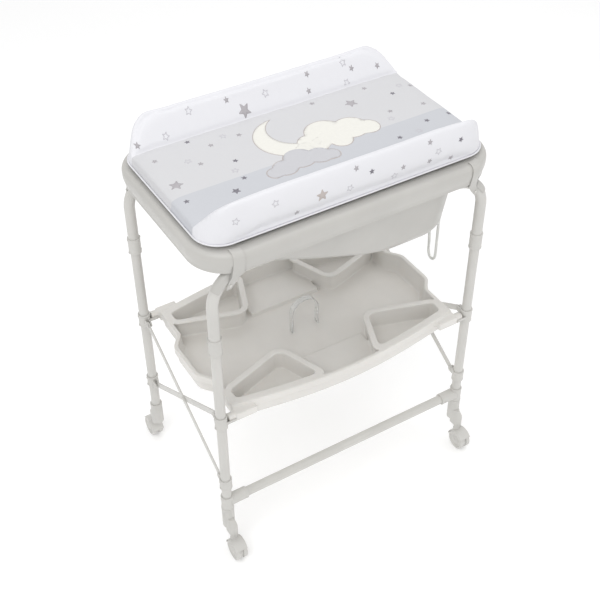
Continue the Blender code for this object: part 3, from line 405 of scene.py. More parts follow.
def steel():
    look = Look("rivet_steel", 0.36, metallic=0.9)
    look.colour(look.mix(look.ramp(look.noise(200.0), 0, 1), (0.55, 0.54, 0.51), (0.68, 0.67, 0.64)))
    look.roughness(look.ramp(look.noise(400.0), 0.28, 0.45))
    look.bump((look.noise(900.0), 0.15, 0.0002))
    return look.material


def painted_board():
    look = Look("board", 0.6)
    look.colour(look.mix(look.ramp(look.noise(60.0, 6.0), 0, 1), (0.70, 0.69, 0.66), (0.73, 0.72, 0.69)))
    look.bump((look.noise(500.0, 4.0), 0.25, 0.0004))
    return look.material


def floor_look():
    look = Look("floor", 0.75)
    look.colour(look.mix(look.ramp(look.noise(1.5), 0, 1), (0.945, 0.945, 0.945), (0.955, 0.955, 0.955)))
    look.value("Emission Color", (1.0, 1.0, 1.0, 1.0))
    look.value("Emission Strength", 0.15)
    return look.material


# ============================================================================================
# frame tubes and fittings
# ============================================================================================
BEND_RADIUS = 0.085
SNAP_RADIUS = 0.0026


def upper_tube(side, look):
    node = f"{side}_upper_tube"
    low, high, middle = span(node)
    radius = (high.y - low.y) / 2
    leg_x = high.x - radius
    bend_z = high.z - radius - BEND_RADIUS
    steps = 18
    path = [(Vector((-leg_x, middle.y, low.z)), Vector((0, 0, 1)))]
    for k in range(steps + 1):
        a = math.radians(90) * k / steps
        along = -leg_x + BEND_RADIUS * (1 - math.cos(a))
        place = Vector((along, middle.y, bend_z + BEND_RADIUS * math.sin(a)))
        path.append((place, Vector((math.sin(a), 0, math.cos(a)))))
    path += [(Vector((-p.x, p.y, p.z)), Vector((d.x, 0, -d.z))) for p, d in reversed(path)]
    rings = []
    for place, direction in path:
        other = direction.cross(Vector((0, 1, 0)))
        angles = (2 * math.pi * i / FINE for i in range(FINE))
        rings.append([place + radius * (math.cos(a) * Vector((0, 1, 0)) + math.sin(a) * other)
                      for a in angles])
    show(link(f"{side}_top_tube", skin(rings)), look, "frame", "painted_tube", node)


def leg_tube(corner, look):
    node = f"{corner}_leg"
    low, high, middle = span(node)
    radius = (high.x - low.x) / 2
    bm = rod((middle.x, middle.y, low.z), (middle.x, middle.y, high.z), radius)
    show(link(f"{corner}_leg_tube", bm), look, "frame", "painted_tube", node)


def snap_dot(middle, z, radius, facing):
    """Small domed button on a fitting; `facing` points outward."""
    facing = Vector(facing).normalized()
    base = Vector((middle.x, middle.y, z)) + facing * (radius - 0.0006)
    dome = [(SNAP_RADIUS, 0), (SNAP_RADIUS, 0.0011), (SNAP_RADIUS * 0.86, 0.0017),
            (SNAP_RADIUS * 0.5, 0.0021), (SNAP_RADIUS * 0.12, 0.0022)]
    return turned(base, facing, dome, 20, loop=False)


def banded(middle, low_z, high_z, inner, outer, bead=0.0006, band=0.0045):
    """Moulded sleeve with a slightly raised band at each end."""
    height = high_z - low_z
    outline = [(inner, 0), (outer + bead, 0), (outer + bead, band), (outer, band + bead * 1.5),
               (outer, height - band - bead * 1.5), (outer + bead, height - band), (outer + bead, height),
               (inner, height)]
    radii = [0.0002, 0.0013, 0.0006, 0.0008, 0.0008, 0.0006, 0.0013, 0.0002]
    return lathe((middle.x, middle.y, low_z), (0, 0, 1), outline, radii)


def sleeve(corner, look):
    node = f"{corner}_sleeve"
    sx, _ = CORNERS[corner]
    low, high, middle = span(node)
    radius = (high.x - low.x) / 2
    leg_low, leg_high, _ = span(f"{corner}_leg")
    inner = (leg_high.x - leg_low.x) / 2 + GAP
    parts = [banded(middle, low.z, high.z, inner, radius)]
    for z in (low.z + 0.003, high.z - 0.003):
        parts.append(snap_dot(middle, z, radius + 0.0006, (-sx, 0, 0)))
        parts.append(snap_dot(middle, z, radius + 0.0006, (sx, 0, 0)))
    show(link(f"{corner}_tube_sleeve", join(*parts)), look, "frame", "fitting", node)


PIN_RADIUS = 0.003
PIN_REACH = 0.026
BRACE_THICKNESS = 0.003
FORK_CHEEK = 0.0028
FORK_WIDTH = 0.016
FITTING_WALL = 0.0032
STUB_RADIUS = 0.0105
CRADLE_WALL = 0.0028
CRADLE_REACH = 0.034
CRADLE_ROOT = 0.006                 # where half pipes and sockets start, inside their rings


def fork_parts(leg, sy, z, root):
    """Two cheeks and a domed pin that hold a brace's end."""
    slot = 2 * BRACE_THICKNESS + 3 * GAP
    nose = FORK_WIDTH / 2
    parts = []
    for side in (-1, 1):
        near, far = sorted((side * slot / 2, side * (slot / 2 + FORK_CHEEK)))
        outline = [(0, -sy * root, -nose)]
        outline += [(0, -sy * (PIN_REACH + nose * math.cos(a)), nose * math.sin(a))
                    for a in (math.radians(-90 + 15 * k) for k in range(13))]
        outline.append((0, -sy * root, nose))
        parts.append(prism(outline, (leg.x + near, leg.y, z), (far - near, 0, 0)))
    half = slot / 2 + FORK_CHEEK + 0.0012
    pin_y = leg.y - sy * PIN_REACH
    parts.append(rod((leg.x - half, pin_y, z), (leg.x + half, pin_y, z), PIN_RADIUS, 20, edge=0.0008))
    return parts


def cradle_part(leg, sx, z):
    """Open-topped half pipe that a shelf stub drops into."""
    inner = STUB_RADIUS + GAP
    outer = inner + CRADLE_WALL
    steps = 20
    rim = 0.002
    half_turn = [math.pi * k / steps for k in range(steps + 1)]
    outline = [(0, outer, rim)] + [(0, outer * math.cos(a), -outer * math.sin(a)) for a in half_turn]
    outline += [(0, -outer, rim), (0, -inner, rim)]
    outline += [(0, inner * math.cos(a), -inner * math.sin(a)) for a in reversed(half_turn)]
    outline.append((0, inner, rim))
    near = leg.x - sx * CRADLE_ROOT
    far = leg.x - sx * CRADLE_REACH
    return prism(outline, (near, leg.y, z), (far - near, 0, 0))


def collar(corner, kind, look):
    node = f"{corner}_{kind}_collar"
    sx, sy = CORNERS[corner]
    low, high, _ = span(node)
    leg_low, leg_high, leg = span(f"{corner}_leg")
    inner = (leg_high.x - leg_low.x) / 2 + GAP
    outer = inner + FITTING_WALL
    ring = banded(leg, low.z, high.z, inner, outer - 0.0006)
    fork_z = (low.z + high.z) / 2
    parts = fork_parts(leg, sy, fork_z, inner + FITTING_WALL * 0.5)
    if kind == "shelf":
        parts.append(cradle_part(leg, sx, fork_z + 0.001))
    parts.append(snap_dot(leg, low.z + 0.004, outer, (sx, 0, 0)))
    parts.append(snap_dot(leg, high.z - 0.004, outer, (sx, 0, 0)))
    obj = link(f"{corner}_{kind}_fitting", join(ring, *parts))
    bevel(obj, 0.0006, 2, 50)
    show(obj, look, "frame", "fitting", node)


def tee(side, sx, look):
    node = f"{side}_tee_joint"
    low, high, _ = span(node)
    leg_low, leg_high, leg = span(f"front_{side}_leg")
    _, bar_high, bar = span("front_bottom_bar")
    bar_radius = bar_high.z - bar.z
    inner = (leg_high.x - leg_low.x) / 2 + GAP
    outer = inner + FITTING_WALL
    ring = banded(leg, low.z, high.z, inner, outer - 0.0006)
    reach = max(abs(low.x), abs(high.x)) - min(abs(low.x), abs(high.x)) - outer
    start = (leg.x - sx * CRADLE_ROOT, leg.y, bar.z)
    length = reach - CRADLE_ROOT
    outline = [(bar_radius + GAP, 0), (bar_radius + 0.0036, 0), (bar_radius + 0.0031, length - 0.006),
               (bar_radius + 0.0036, length - 0.005), (bar_radius + 0.0036, length),
               (bar_radius + GAP, length)]
    socket = lathe(start, (-sx, 0, 0), outline, [0, 0.0004, 0.0004, 0.0004, 0.0012, 0.0003])
    dot = snap_dot(leg, high.z - 0.006, outer, (sx, 0, 0))
    screw = snap_dot(Vector((leg.x - sx * 0.044, leg.y, 0)), bar.z, bar_radius + 0.0034, (0, -1, 0))
    show(link(f"{side}_tee_fitting", join(ring, socket, dot, screw)), look, "frame", "fitting", node)


def bottom_bar(look):
    low, high, middle = span("front_bottom_bar")
    bm = rod((low.x, middle.y, middle.z), (high.x, middle.y, middle.z), high.z - middle.z)
    show(link("front_bar_tube", bm), look, "frame", "painted_tube", "front_bottom_bar")


def brace(side, run, look):
    """The CAD's flat bar with eased, stamped edges."""
    node = f"{side}_{run}_brace"
    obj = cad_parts[node]
    obj.data.materials.clear()
    obj.data.materials.append(look)
    bevel(obj, 0.0007, 2, 30)


def rivet(side, look):
    node = f"{side}_brace_rivet"
    low, high, middle = span(node)
    half = (high.x - low.x) / 2
    head = (high.y - low.y) / 2
    crown = 0.0022
    face = half - 0.0016
    arc = [math.radians(90 * k / 6) for k in range(7)]
    right = [(PIN_RADIUS, face), (head, face)]
    right += [(head * math.cos(a), face + crown * 0.7 * math.sin(a)) for a in arc[1:-1]]
    right.append((head * 0.05, face + crown * 0.7))
    left = [(r, -h) for r, h in reversed(right)]
    show(link(f"{side}_cross_rivet", turned(middle, (1, 0, 0), left + right, 32, loop=False)), look,
         "frame", "rivet_steel", node)


# ============================================================================================
# feet and casters
# ============================================================================================
BOSS_OFFSET = 0.024
BOSS_RADIUS = 0.011
BOSS_BOTTOM, BOSS_TOP = 0.069, 0.118
STEM_RADIUS = 0.0045
STEM_TOP = 0.104
WEB_THICKNESS = 0.008
AXLE_RADIUS = 0.0035
FENDER_THICKNESS = 0.0022
FENDER_CLEARANCE = 0.001
NECK_RADIUS = 0.0085


def foot(corner, look):
    node = f"{corner}_foot"
    _, sy = CORNERS[corner]
    _, high, _ = span(node)
    leg_low, leg_high, leg = span(f"{corner}_leg")
    inner = (leg_high.x - leg_low.x) / 2 + GAP
    outer = inner + FITTING_WALL
    bottom = 0.083
    floor = leg_low.z - GAP
    edge = 0.002
    arc = [math.radians(18 * k) for k in range(6)]
    profile = [(outer - edge * (1 - math.sin(a)), bottom + edge * (1 - math.cos(a))) for a in arc]
    profile += [(outer, high.z - 0.007), (outer + 0.0006, high.z - 0.006)]
    profile += [(outer + 0.0006 - 0.001 * (1 - math.cos(a)), high.z - 0.001 + 0.001 * math.sin(a))
                for a in arc]
    profile += [(inner, high.z), (inner, floor)]
    cup = link(f"{corner}_foot_cup", turned((leg.x, leg.y, 0), (0, 0, 1), profile, loop=False))
    combine(cup, boss_part(leg, sy, inner * 0.4), "UNION")
    socket = rod((leg.x, leg.y, floor), (leg.x, leg.y, high.z + 0.01), inner)
    combine(cup, socket, "DIFFERENCE")
    boss = Vector((leg.x, leg.y + sy * BOSS_OFFSET, 0))
    bore_ends = [boss + Vector((0, 0, z)) for z in (BOSS_BOTTOM - 0.01, STEM_TOP + 0.001)]
    bore = rod(*bore_ends, STEM_RADIUS + 0.0004, 24)
    combine(cup, bore, "DIFFERENCE")
    smooth(cup.data, 50)
    show(cup, look, "frame", "fitting", node)


def boss_part(leg, sy, root):
    """Outward bulge that holds the caster's stem, with a soft shoulder."""
    rings = []
    slope = 0.020
    lower = [(BOSS_BOTTOM, BOSS_RADIUS - 0.0012, 0.0), (BOSS_BOTTOM + 0.0004, BOSS_RADIUS - 0.0005, 0.0),
             (BOSS_BOTTOM + 0.0012, BOSS_RADIUS, 0.0)]
    upper = []
    for k in range(9):
        t = k / 8
        smooth = t * t * (3 - 2 * t)
        upper.append((BOSS_TOP - slope + slope * t, BOSS_RADIUS * (1 - 0.25 * smooth), 0.010 * smooth))
    for z, radius, reach in lower + upper:
        centre_y = leg.y + sy * (BOSS_OFFSET - reach)
        ring = [Vector((leg.x + sy * radius * math.sin(a), centre_y + sy * radius * math.cos(a), z))
                for a in (math.radians(-90 + 7.5 * k) for k in range(25))]
        ring.append(Vector((leg.x + sy * radius, leg.y + sy * root, z)))
        ring.append(Vector((leg.x - sy * radius, leg.y + sy * root, z)))
        rings.append(ring)
    return skin(rings)


def arc_strip(centre, sy, outer, inner, half_width, first, last, steps=28):
    """Curved strip over the wheels between two angles, `half_width` to each side of the middle."""
    angles = [math.radians(first + (last - first) * k / steps) for k in range(steps + 1)]
    outline = [(0, sy * outer * math.cos(a), outer * math.sin(a)) for a in angles]
    outline += [(0, sy * inner * math.cos(a), inner * math.sin(a)) for a in reversed(angles)]
    return prism(outline, Vector(centre) - Vector((half_width, 0, 0)), (2 * half_width, 0, 0))


def caster(corner, look):
    node = f"{corner}_caster_fork"
    _, sy = CORNERS[corner]
    _, _, leg = span(f"{corner}_leg")
    wheel_low, wheel_high, wheel_mid = span(f"{corner}_outer_wheel")
    radius = (wheel_high.z - wheel_low.z) / 2
    width = wheel_high.x - wheel_low.x
    swivel = Vector((leg.x, leg.y + sy * BOSS_OFFSET, 0))
    axle = Vector((leg.x, wheel_mid.y, wheel_mid.z))
    web_radius = radius - 0.003
    outline = [(0, sy * web_radius * math.cos(a), web_radius * math.sin(a))
               for a in (math.radians(-30 + 10 * k) for k in range(25))]
    web = prism(outline, axle - Vector((WEB_THICKNESS / 2, 0, 0)), (WEB_THICKNESS, 0, 0))
    inner = radius + FENDER_CLEARANCE
    outer = inner + FENDER_THICKNESS
    half = WEB_THICKNESS / 2 + width + 0.0012
    hood = arc_strip(axle, sy, outer, inner, half, 35, 175)
    rib = arc_strip(axle, sy, outer - 0.001, inner - 0.006, WEB_THICKNESS / 2 - 0.0002, 41, 169)
    neck_top = BOSS_BOTTOM - GAP
    neck = [(NECK_RADIUS + 0.002, radius * 2 - 0.001), (NECK_RADIUS + 0.0006, radius * 2 + 0.004),
            (NECK_RADIUS, radius * 2 + 0.006), (NECK_RADIUS, neck_top - 0.001),
            (NECK_RADIUS - 0.001, neck_top), (STEM_RADIUS, neck_top),
            (STEM_RADIUS, STEM_TOP - 0.001), (STEM_RADIUS - 0.001, STEM_TOP)]
    stem = turned((swivel.x, swivel.y, 0), (0, 0, 1), neck, FAIR, loop=False)
    reach = WEB_THICKNESS / 2 + width + 0.0004
    pin = rod(axle - Vector((reach, 0, 0)), axle + Vector((reach, 0, 0)), AXLE_RADIUS, 24, edge=0.0012)
    obj = link(f"{corner}_caster_hood", join(web, hood, rib, stem, pin))
    bevel(obj, 0.0009, 3, 50)
    show(obj, look, f"{corner}_caster", "caster_plastic", node)


def wheel(corner, side, look):
    node = f"{corner}_{side}_wheel"
    sx, _ = CORNERS[corner]
    low, high, middle = span(node)
    radius = (high.z - low.z) / 2
    width = high.x - low.x
    lean = sx if side == "outer" else -sx
    start = middle - Vector((lean * width / 2, 0, 0))
    bore = AXLE_RADIUS + 0.0004
    outline = [(bore, 0), (radius, 0), (radius, width), (radius * 0.80, width),
               (radius * 0.74, width - 0.0028), (radius * 0.44, width - 0.0034),
               (radius * 0.36, width - 0.0006), (bore, width - 0.0006)]
    radii = [0.0003, 0.0014, 0.0036, 0.0008, 0.0008, 0.0008, 0.0008, 0.0004]
    show(link(f"{corner}_{side}_roller", lathe(start, (lean, 0, 0), outline, radii, 64)), look,
         f"{corner}_wheels", "caster_plastic", node)


# ============================================================================================
# bath tub and what is fixed to it
# ============================================================================================
RIM_CORNER = 0.098
RIM_WALL = 0.003
SKIRT_HEIGHT = 0.050
FLANGE_RISE = 0.0142                 # flange's underside above the bent tubes' axis
BOWL_X, BOWL_Y, BOWL_CORNER = 0.328, 0.190, 0.092
BOWL_DRAFT = 0.12
BOWL_ROUND = 0.045
HEAD_END_FLOOR = 0.10
TUB_WALL = 0.003
DRAIN_HOLE = 0.017
BRACKET_X, BRACKET_WIDTH, BRACKET_THICKNESS, BRACKET_REACH = 0.298, 0.024, 0.0026, 0.019


class Tub:
    """Places that the tub's shape and its brackets share, read from the frame."""

    low, high, _ = span("tub")
    rim_x, rim_y, rim_top, bottom = high.x, high.y, high.z, low.z
    tube_low, tube_high, tube_mid = span("front_upper_tube")
    tube_radius = (tube_high.y - tube_low.y) / 2
    tube_level = tube_high.z - tube_radius
    leg_x = tube_high.x - tube_radius
    leg_y = -tube_mid.y
    flange = tube_level + FLANGE_RISE
    skirt = rim_top - SKIRT_HEIGHT


def bowl_ring(outside, z, inset, head_shift):
    """One level outline of the bowl; `head_shift` moves its head end in."""
    wall = 0.0 if outside else TUB_WALL
    right = BOWL_X - inset - wall
    left = -BOWL_X + inset * 0.5 + head_shift + wall
    half_y = BOWL_Y - inset - wall
    radius = max(min(BOWL_CORNER - inset * 0.4 - wall, half_y * 0.95, (right - left) * 0.45), 0.02)
    return rounded_box((right - left) / 2, half_y, radius, z, shift=(right + left) / 2)


def bowl_levels(outside):
    """Outlines from just under the flange down to the floor, with the sloped head end."""
    top = Tub.flange if outside else Tub.rim_top - RIM_WALL
    bottom = Tub.bottom if outside else Tub.bottom + TUB_WALL
    wall_levels, round_steps = 16, 14
    rings = []
    for k in range(wall_levels):
        z = top + (bottom + BOWL_ROUND - top) * k / (wall_levels - 1)
        rings.append((z, BOWL_DRAFT * (Tub.flange - z)))
    inset_at_round = BOWL_DRAFT * (Tub.flange - bottom - BOWL_ROUND)
    for k in range(1, round_steps + 1):
        a = math.radians(90) * k / round_steps
        inset = inset_at_round + BOWL_ROUND * (1 - math.cos(a))
        rings.append((bottom + BOWL_ROUND * (1 - math.sin(a)), inset))
    made = []
    for z, inset in rings:
        depth = (Tub.flange - z) / (Tub.flange - bottom)
        slope = 0.0 if depth <= 0 else (BOWL_X + HEAD_END_FLOOR) * depth ** 1.35
        made.append(bowl_ring(outside, z, inset, slope - inset * 0.5))
    return made


def rim_ring(inset, z):
    return rounded_box(Tub.rim_x - inset, Tub.rim_y - inset, RIM_CORNER - inset, z, steps=22)


def rim_profile():
    """(inset, height) points of the rim's outer face, then of its inner face, both from the bottom up."""
    lean, nose, bead = 0.006, 0.012, 0.0012
    bottom = Tub.skirt
    outside = [(lean + 0.0012, bottom), (lean, bottom + 0.0003), (lean - bead, bottom + 0.0012),
               (lean - bead, bottom + 0.0034), (lean * 0.9, bottom + 0.0050), (lean * 0.5, bottom + 0.014),
               (lean * 0.16, bottom + 0.021), (0.0, bottom + 0.027)]
    for k in range(13):
        a = math.radians(90) * k / 12
        outside.append((nose * (1 - math.cos(a)), Tub.rim_top - nose + nose * math.sin(a)))
    corner = 0.008
    inside = [(lean + RIM_WALL - 0.0006, bottom), (lean + RIM_WALL, bottom + 0.0006),
              (lean * 0.5 + RIM_WALL, bottom + 0.014), (RIM_WALL + 0.002, Tub.flange + 0.010),
              (RIM_WALL + corner * 0.4, Tub.flange + 0.0155), (RIM_WALL + corner, Tub.flange + 0.018)]
    return outside, inside


def tub(look):
    outside, inside = rim_profile()
    count = len(rim_ring(0, 0))
    bowl_outer = list(reversed(bowl_levels(outside=True)))
    bowl_outer.append(rounded_box(BOWL_X + 0.004, BOWL_Y + 0.004, BOWL_CORNER, Tub.flange + 0.010))
    bowl_inner = bowl_levels(outside=False)
    rings = [resample(ring, count) for ring in bowl_outer]
    rings += [rim_ring(inset, z) for inset, z in reversed(inside)]
    rings += [rim_ring(inset, z) for inset, z in outside]
    rings.append(rim_ring(0.034, Tub.rim_top))
    rings.append(rim_ring(0.0352, Tub.rim_top - 0.0008))
    rings += [resample(ring, count) for ring in bowl_inner]
    shell = link("bath_tub", skin(rings))
    _, _, drain = span("drain_outlet")
    drain_x = span("drain_plug")[2].x
    hole = rod((drain_x, drain.y, Tub.bottom - 0.01), (drain_x, drain.y, Tub.bottom + 0.02), DRAIN_HOLE)
    combine(shell, hole, "DIFFERENCE")
    smooth(shell.data, 50)
    show(shell, look, "tub_unit", "tub_plastic", "tub")


def resample(ring, count):
    """The same closed outline with `count` points, keeping each corner's share of them."""
    quarter_old = len(ring) // 4
    quarter_new = count // 4
    made = []
    for q in range(4):
        part = ring[q * quarter_old:(q + 1) * quarter_old]
        for k in range(quarter_new):
            t = k * (quarter_old - 1) / (quarter_new - 1)
            i = min(int(t), quarter_old - 2)
            made.append(part[i].lerp(part[i + 1], t - i))
    return made


def offset_path(points, distance):
    """Shift an open 2-D path sideways, to the left of its direction."""
    made = []
    for i, point in enumerate(points):
        before = Vector(points[max(i - 1, 0)])
        after = Vector(points[min(i + 1, len(points) - 1)])
        along = (after - before).normalized()
        made.append(Vector(point) + distance * Vector((-along.y, along.x)))
    return made


def rim_reach(x, inset):
    side = max(abs(x) - (Tub.rim_x - RIM_CORNER), 0.0)
    return Tub.rim_y - RIM_CORNER + math.sqrt((RIM_CORNER - inset) ** 2 - side ** 2)


def bracket_section(x):
    """(x, reach, z) points on the faces that the strap lies on, from the rim's top to the tube."""
    over_rim = [(BRACKET_REACH, Tub.rim_top)]
    nose = 0.012
    for k in range(9):
        a = math.radians(90) * (1 - k / 8)
        over_rim.append((nose * (1 - math.cos(a)), Tub.rim_top - nose + nose * math.sin(a)))
    over_rim += [(0.0, Tub.skirt + 0.027), (0.003, Tub.skirt + 0.014), (0.006, Tub.skirt)]
    front = Tub.leg_y + Tub.tube_radius
    tail = ((0.90, 0.004, 0.0040, 0.882), (0.82, 0.008, 0.0024, 0.875), (0.72, 0.012, 0.0016, 0.867),
            (0.62, 0.016, 0.0013, 0.860), (0.5, 0.020, 0.0012, 0.853))
    path = [(x, rim_reach(x, inset), z) for inset, z in over_rim]
    path += [(BRACKET_X + (x - BRACKET_X) * taper + shift, front + stand, z)
             for taper, shift, stand, z in tail]
    return path


def saddle(sx, sy):
    """Quarter shell over the outer, upper side of the tube's bend."""
    inner = Tub.tube_radius + GAP
    outer = inner + BRACKET_THICKNESS
    rings = []
    for k in range(15):
        bend = math.radians(30 + 45 * k / 14)
        out = Vector((-math.cos(bend), 0, math.sin(bend)))
        middle = Vector((-(Tub.leg_x - BEND_RADIUS), -Tub.leg_y, Tub.tube_level - BEND_RADIUS))
        axis = middle + BEND_RADIUS * out
        front = Vector((0, -1, 0))
        angles = [math.radians(90) * j / 12 for j in range(13)]
        ring = [axis + outer * (math.cos(a) * front + math.sin(a) * out) for a in angles]
        ring += [axis + inner * (math.cos(a) * front + math.sin(a) * out) for a in reversed(angles)]
        rings.append([Vector((-sx * p.x, -sy * p.y, p.z)) for p in ring])
    return skin(rings)


def bracket(corner, look, dark):
    sx, sy = CORNERS[corner]
    rings = []
    stations = 13
    for k in range(stations):
        x = BRACKET_X + BRACKET_WIDTH * (k / (stations - 1) - 0.5)
        section = bracket_section(x)
        flat = [(reach, z) for _, reach, z in section]
        inner = offset_path(flat, GAP)
        outer = offset_path(flat, GAP + BRACKET_THICKNESS)
        ring = [(p[0], q) for p, q in zip(section, inner)]
        ring += [(p[0], q) for p, q in reversed(list(zip(section, outer)))]
        rings.append([Vector((sx * px, sy * q.x, q.y)) for px, q in ring])
    strap = link(f"{corner}_rim_bracket", join(skin(rings), saddle(sx, sy)))
    bevel(strap, 0.0008, 3, 50)
    show(strap, look, "tub_unit", "fitting", f"{corner}_tub_bracket")
    place = Vector((sx * (BRACKET_X + 0.016), sy * (Tub.leg_y + Tub.tube_radius + 0.0040), 0.862))
    screw = rod(place, place + Vector((0, sy * 0.0016, 0)), 0.0032, 24, edge=0.0006)
    show(link(f"{corner}_bracket_screw", screw), dark, "tub_unit", "rivet_steel")


# ============================================================================================
# drain and hose
# ============================================================================================
HOSE_RADIUS = 0.0035
NOZZLE_LENGTH = 0.048
OUTLET_DEPTH = 0.026


def hose_route():
    """The CAD's own route: out of the nozzle, down in a hanging loop, and up to its clip."""
    drain = span("drain_plug")[2]
    clip_low = span("hose_clip")[0]
    out = drain.x + NOZZLE_LENGTH + GAP
    return [(out, -0.020, 0.7037), (0.297, -0.0202, 0.7036), (0.310, -0.0215, 0.7010),
            (0.322, -0.0255, 0.6920), (0.331, -0.0320, 0.6760), (0.337, -0.0395, 0.6540),
            (0.3395, -0.0450, 0.6280),
            (0.340, -0.0475, 0.6000), (0.340, -0.0480, 0.5750), (0.340, -0.0495, 0.5610),
            (0.340, -0.0550, 0.5515), (0.340, -0.0625, 0.5485), (0.340, -0.0700, 0.5515),
            (0.340, -0.0755, 0.5610), (0.340, -0.0770, 0.5750), (0.340, -0.0770, 0.6100),
            (0.340, -0.0770, 0.6600), (0.340, -0.0770, 0.7200), (0.340, -0.0770, 0.7800),
            (0.340, -0.0770, 0.8300), (0.340, -0.0770, clip_low.z - GAP)]


def smooth_route(points, steps=6):
    """Catmull-Rom curve through the route's own points."""
    route = [Vector(p) for p in points]
    route = [2 * route[0] - route[1]] + route + [2 * route[-1] - route[-2]]
    fine = []
    for a, b, c, d in zip(route, route[1:], route[2:], route[3:]):
        for k in range(steps):
            t = k / steps
            fine.append(0.5 * (2 * b + (c - a) * t + (2 * a - 5 * b + 4 * c - d) * t * t
                               + (3 * b - a - 3 * c + d) * t ** 3))
    return fine + [route[-2]]


def hose(look):
    points = smooth_route(hose_route())
    curve = bpy.data.curves.new("soft_hose", "CURVE")
    curve.dimensions = "3D"
    curve.bevel_depth = HOSE_RADIUS
    curve.bevel_resolution = 6
    curve.use_fill_caps = True
    spline = curve.splines.new("POLY")
    spline.points.add(len(points) - 1)
    for slot, point in zip(spline.points, points):
        slot.co = (*point, 1.0)
    obj = bpy.data.objects.new("soft_hose", curve)
    bpy.context.scene.collection.objects.link(obj)
    curve.materials.append(look)
    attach(obj, "tub_unit")
    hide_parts("drain_hose")
    length = sum((q - p).length for p, q in zip(points, points[1:]))
    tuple(hose_route()[0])


def drain(look):
    _, _, plug = span("drain_plug")
    x, y = plug.x, plug.y
    body, flange, bore = 0.0145, 0.024, 0.0125
    top = TUB_WALL - GAP
    outline = [(bore, -OUTLET_DEPTH + 0.002), (0.0005, -OUTLET_DEPTH + 0.002), (0.0005, -OUTLET_DEPTH),
               (body - 0.001, -OUTLET_DEPTH), (body, -OUTLET_DEPTH + 0.0015), (body, -0.0040),
               (flange, -0.003),
               (flange, -GAP), (DRAIN_HOLE - 0.0005, -GAP), (DRAIN_HOLE - 0.0005, top), (bore, top)]
    outlet = turned((x, y, Tub.bottom), (0, 0, 1), outline, FINE)
    height = Tub.bottom - OUTLET_DEPTH * 0.55
    barbs = [(0.0052, 0), (0.0052, NOZZLE_LENGTH - body - 0.012), (0.0060, NOZZLE_LENGTH - body - 0.0115),
             (0.0052, NOZZLE_LENGTH - body - 0.006), (0.0058, NOZZLE_LENGTH - body - 0.0055),
             (0.0048, NOZZLE_LENGTH - body + 0.001)]
    nozzle = turned((x + body - 0.001, y, height), (1, 0, 0), barbs, FAIR, loop=False)
    show(link("outlet_fitting", join(outlet, nozzle)), look, "tub_unit", "fitting", "drain_outlet")
    floor = TUB_WALL + GAP
    cap, stem = 0.0205, 0.0118
    profile = [(stem - 0.001, -0.009), (stem, -0.008), (stem, floor), (cap, floor), (cap, floor + 0.0016),
               (cap - 0.0012, floor + 0.0026), (cap * 0.6, floor + 0.0045), (0.0055, floor + 0.0056),
               (0.004, floor + 0.0075), (0.004, floor + 0.012), (0.0062, floor + 0.0135),
               (0.007, floor + 0.0155),
               (0.0066, floor + 0.018), (0.004, floor + 0.020)]
    show(link("plug_fitting", turned((x, y, Tub.bottom), (0, 0, 1), profile, FINE, loop=False)), look,
         "plug", "fitting", "drain_plug")


def clip(look):
    low, high, middle = span("hose_clip")
    profile = [(0.0040, 0), (0.0054, 0.0004), (0.0058, 0.0014), (0.0058, high.z - low.z - 0.003),
               (0.0078, high.z - low.z - 0.002), (0.0078, high.z - low.z)]
    show(link("hose_clip_fitting", turned((middle.x, middle.y, low.z), (0, 0, 1), profile, FAIR, loop=False)),
         look, "tub_unit", "fitting", "hose_clip")


# ============================================================================================
# hinges
# ============================================================================================
def carried(node, look, width):
    """A CAD node that keeps its shape, with eased edges and a better material."""
    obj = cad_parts[node]
    obj.data.materials.clear()
    obj.data.materials.append(look)
    smooth(obj.data, 40)
    bevel(obj, width, 2, 35)


# ============================================================================================
# shelf tray
# ============================================================================================
TRAY_X, TRAY_Y = 0.314, 0.190
TRAY_BULGE_Y = 0.036
TRAY_LOBE_X, TRAY_LOBE_Y = 0.027, 0.062
TRAY_SKIRT = 0.022
TRAY_FLOOR = 0.004
TRAY_LIP = 0.0095
TRAY_TUCK = 0.012
POCKET_WALL = 0.0075
POCKET_APEX = (0.129, 0.088)
POCKET_TIP_X = 0.0865
POCKET_END_X, POCKET_END_Y = 0.2925, 0.141
POCKET_INSET = 0.0215
POCKET_RIM, POCKET_RIM_DEPTH = 0.0150, 0.007
STUB_END = 0.017
STEP_X, STEP_Y, STEP_HEIGHT = 0.100, 0.101, 0.010
LUG_FROM, LUG_TO = 0.262, 0.3155
TRAY_VOXEL = 0.0019


def edge_y(x):
    return TRAY_Y + TRAY_BULGE_Y * math.cos(math.pi * x / (2 * TRAY_X))


def tray_outline(inset, z):
    """Boat-shaped outline: long edges curve outward, and each end has a lobe."""
    scale_x = (TRAY_X - inset) / TRAY_X
    scale_y = (TRAY_Y + TRAY_BULGE_Y - inset) / (TRAY_Y + TRAY_BULGE_Y)
    steps = 40
    edge = [(x, -edge_y(x)) for x in (-TRAY_X + 2 * TRAY_X * k / steps for k in range(steps + 1))]
    end = []
    for k in range(33):
        share = -1.6 + 3.2 * k / 32
        blend = min(max((1.6 - abs(share)) / 0.8, 0.0), 1.0)
        end.append((TRAY_X + TRAY_LOBE_X * blend * blend * (3 - 2 * blend), share * TRAY_LOBE_Y))
    outline = edge + end + [(-x, -y) for x, y in edge] + [(-x, -y) for x, y in end]
    return [Vector((x * scale_x, y * scale_y, z)) for x, y in outline]


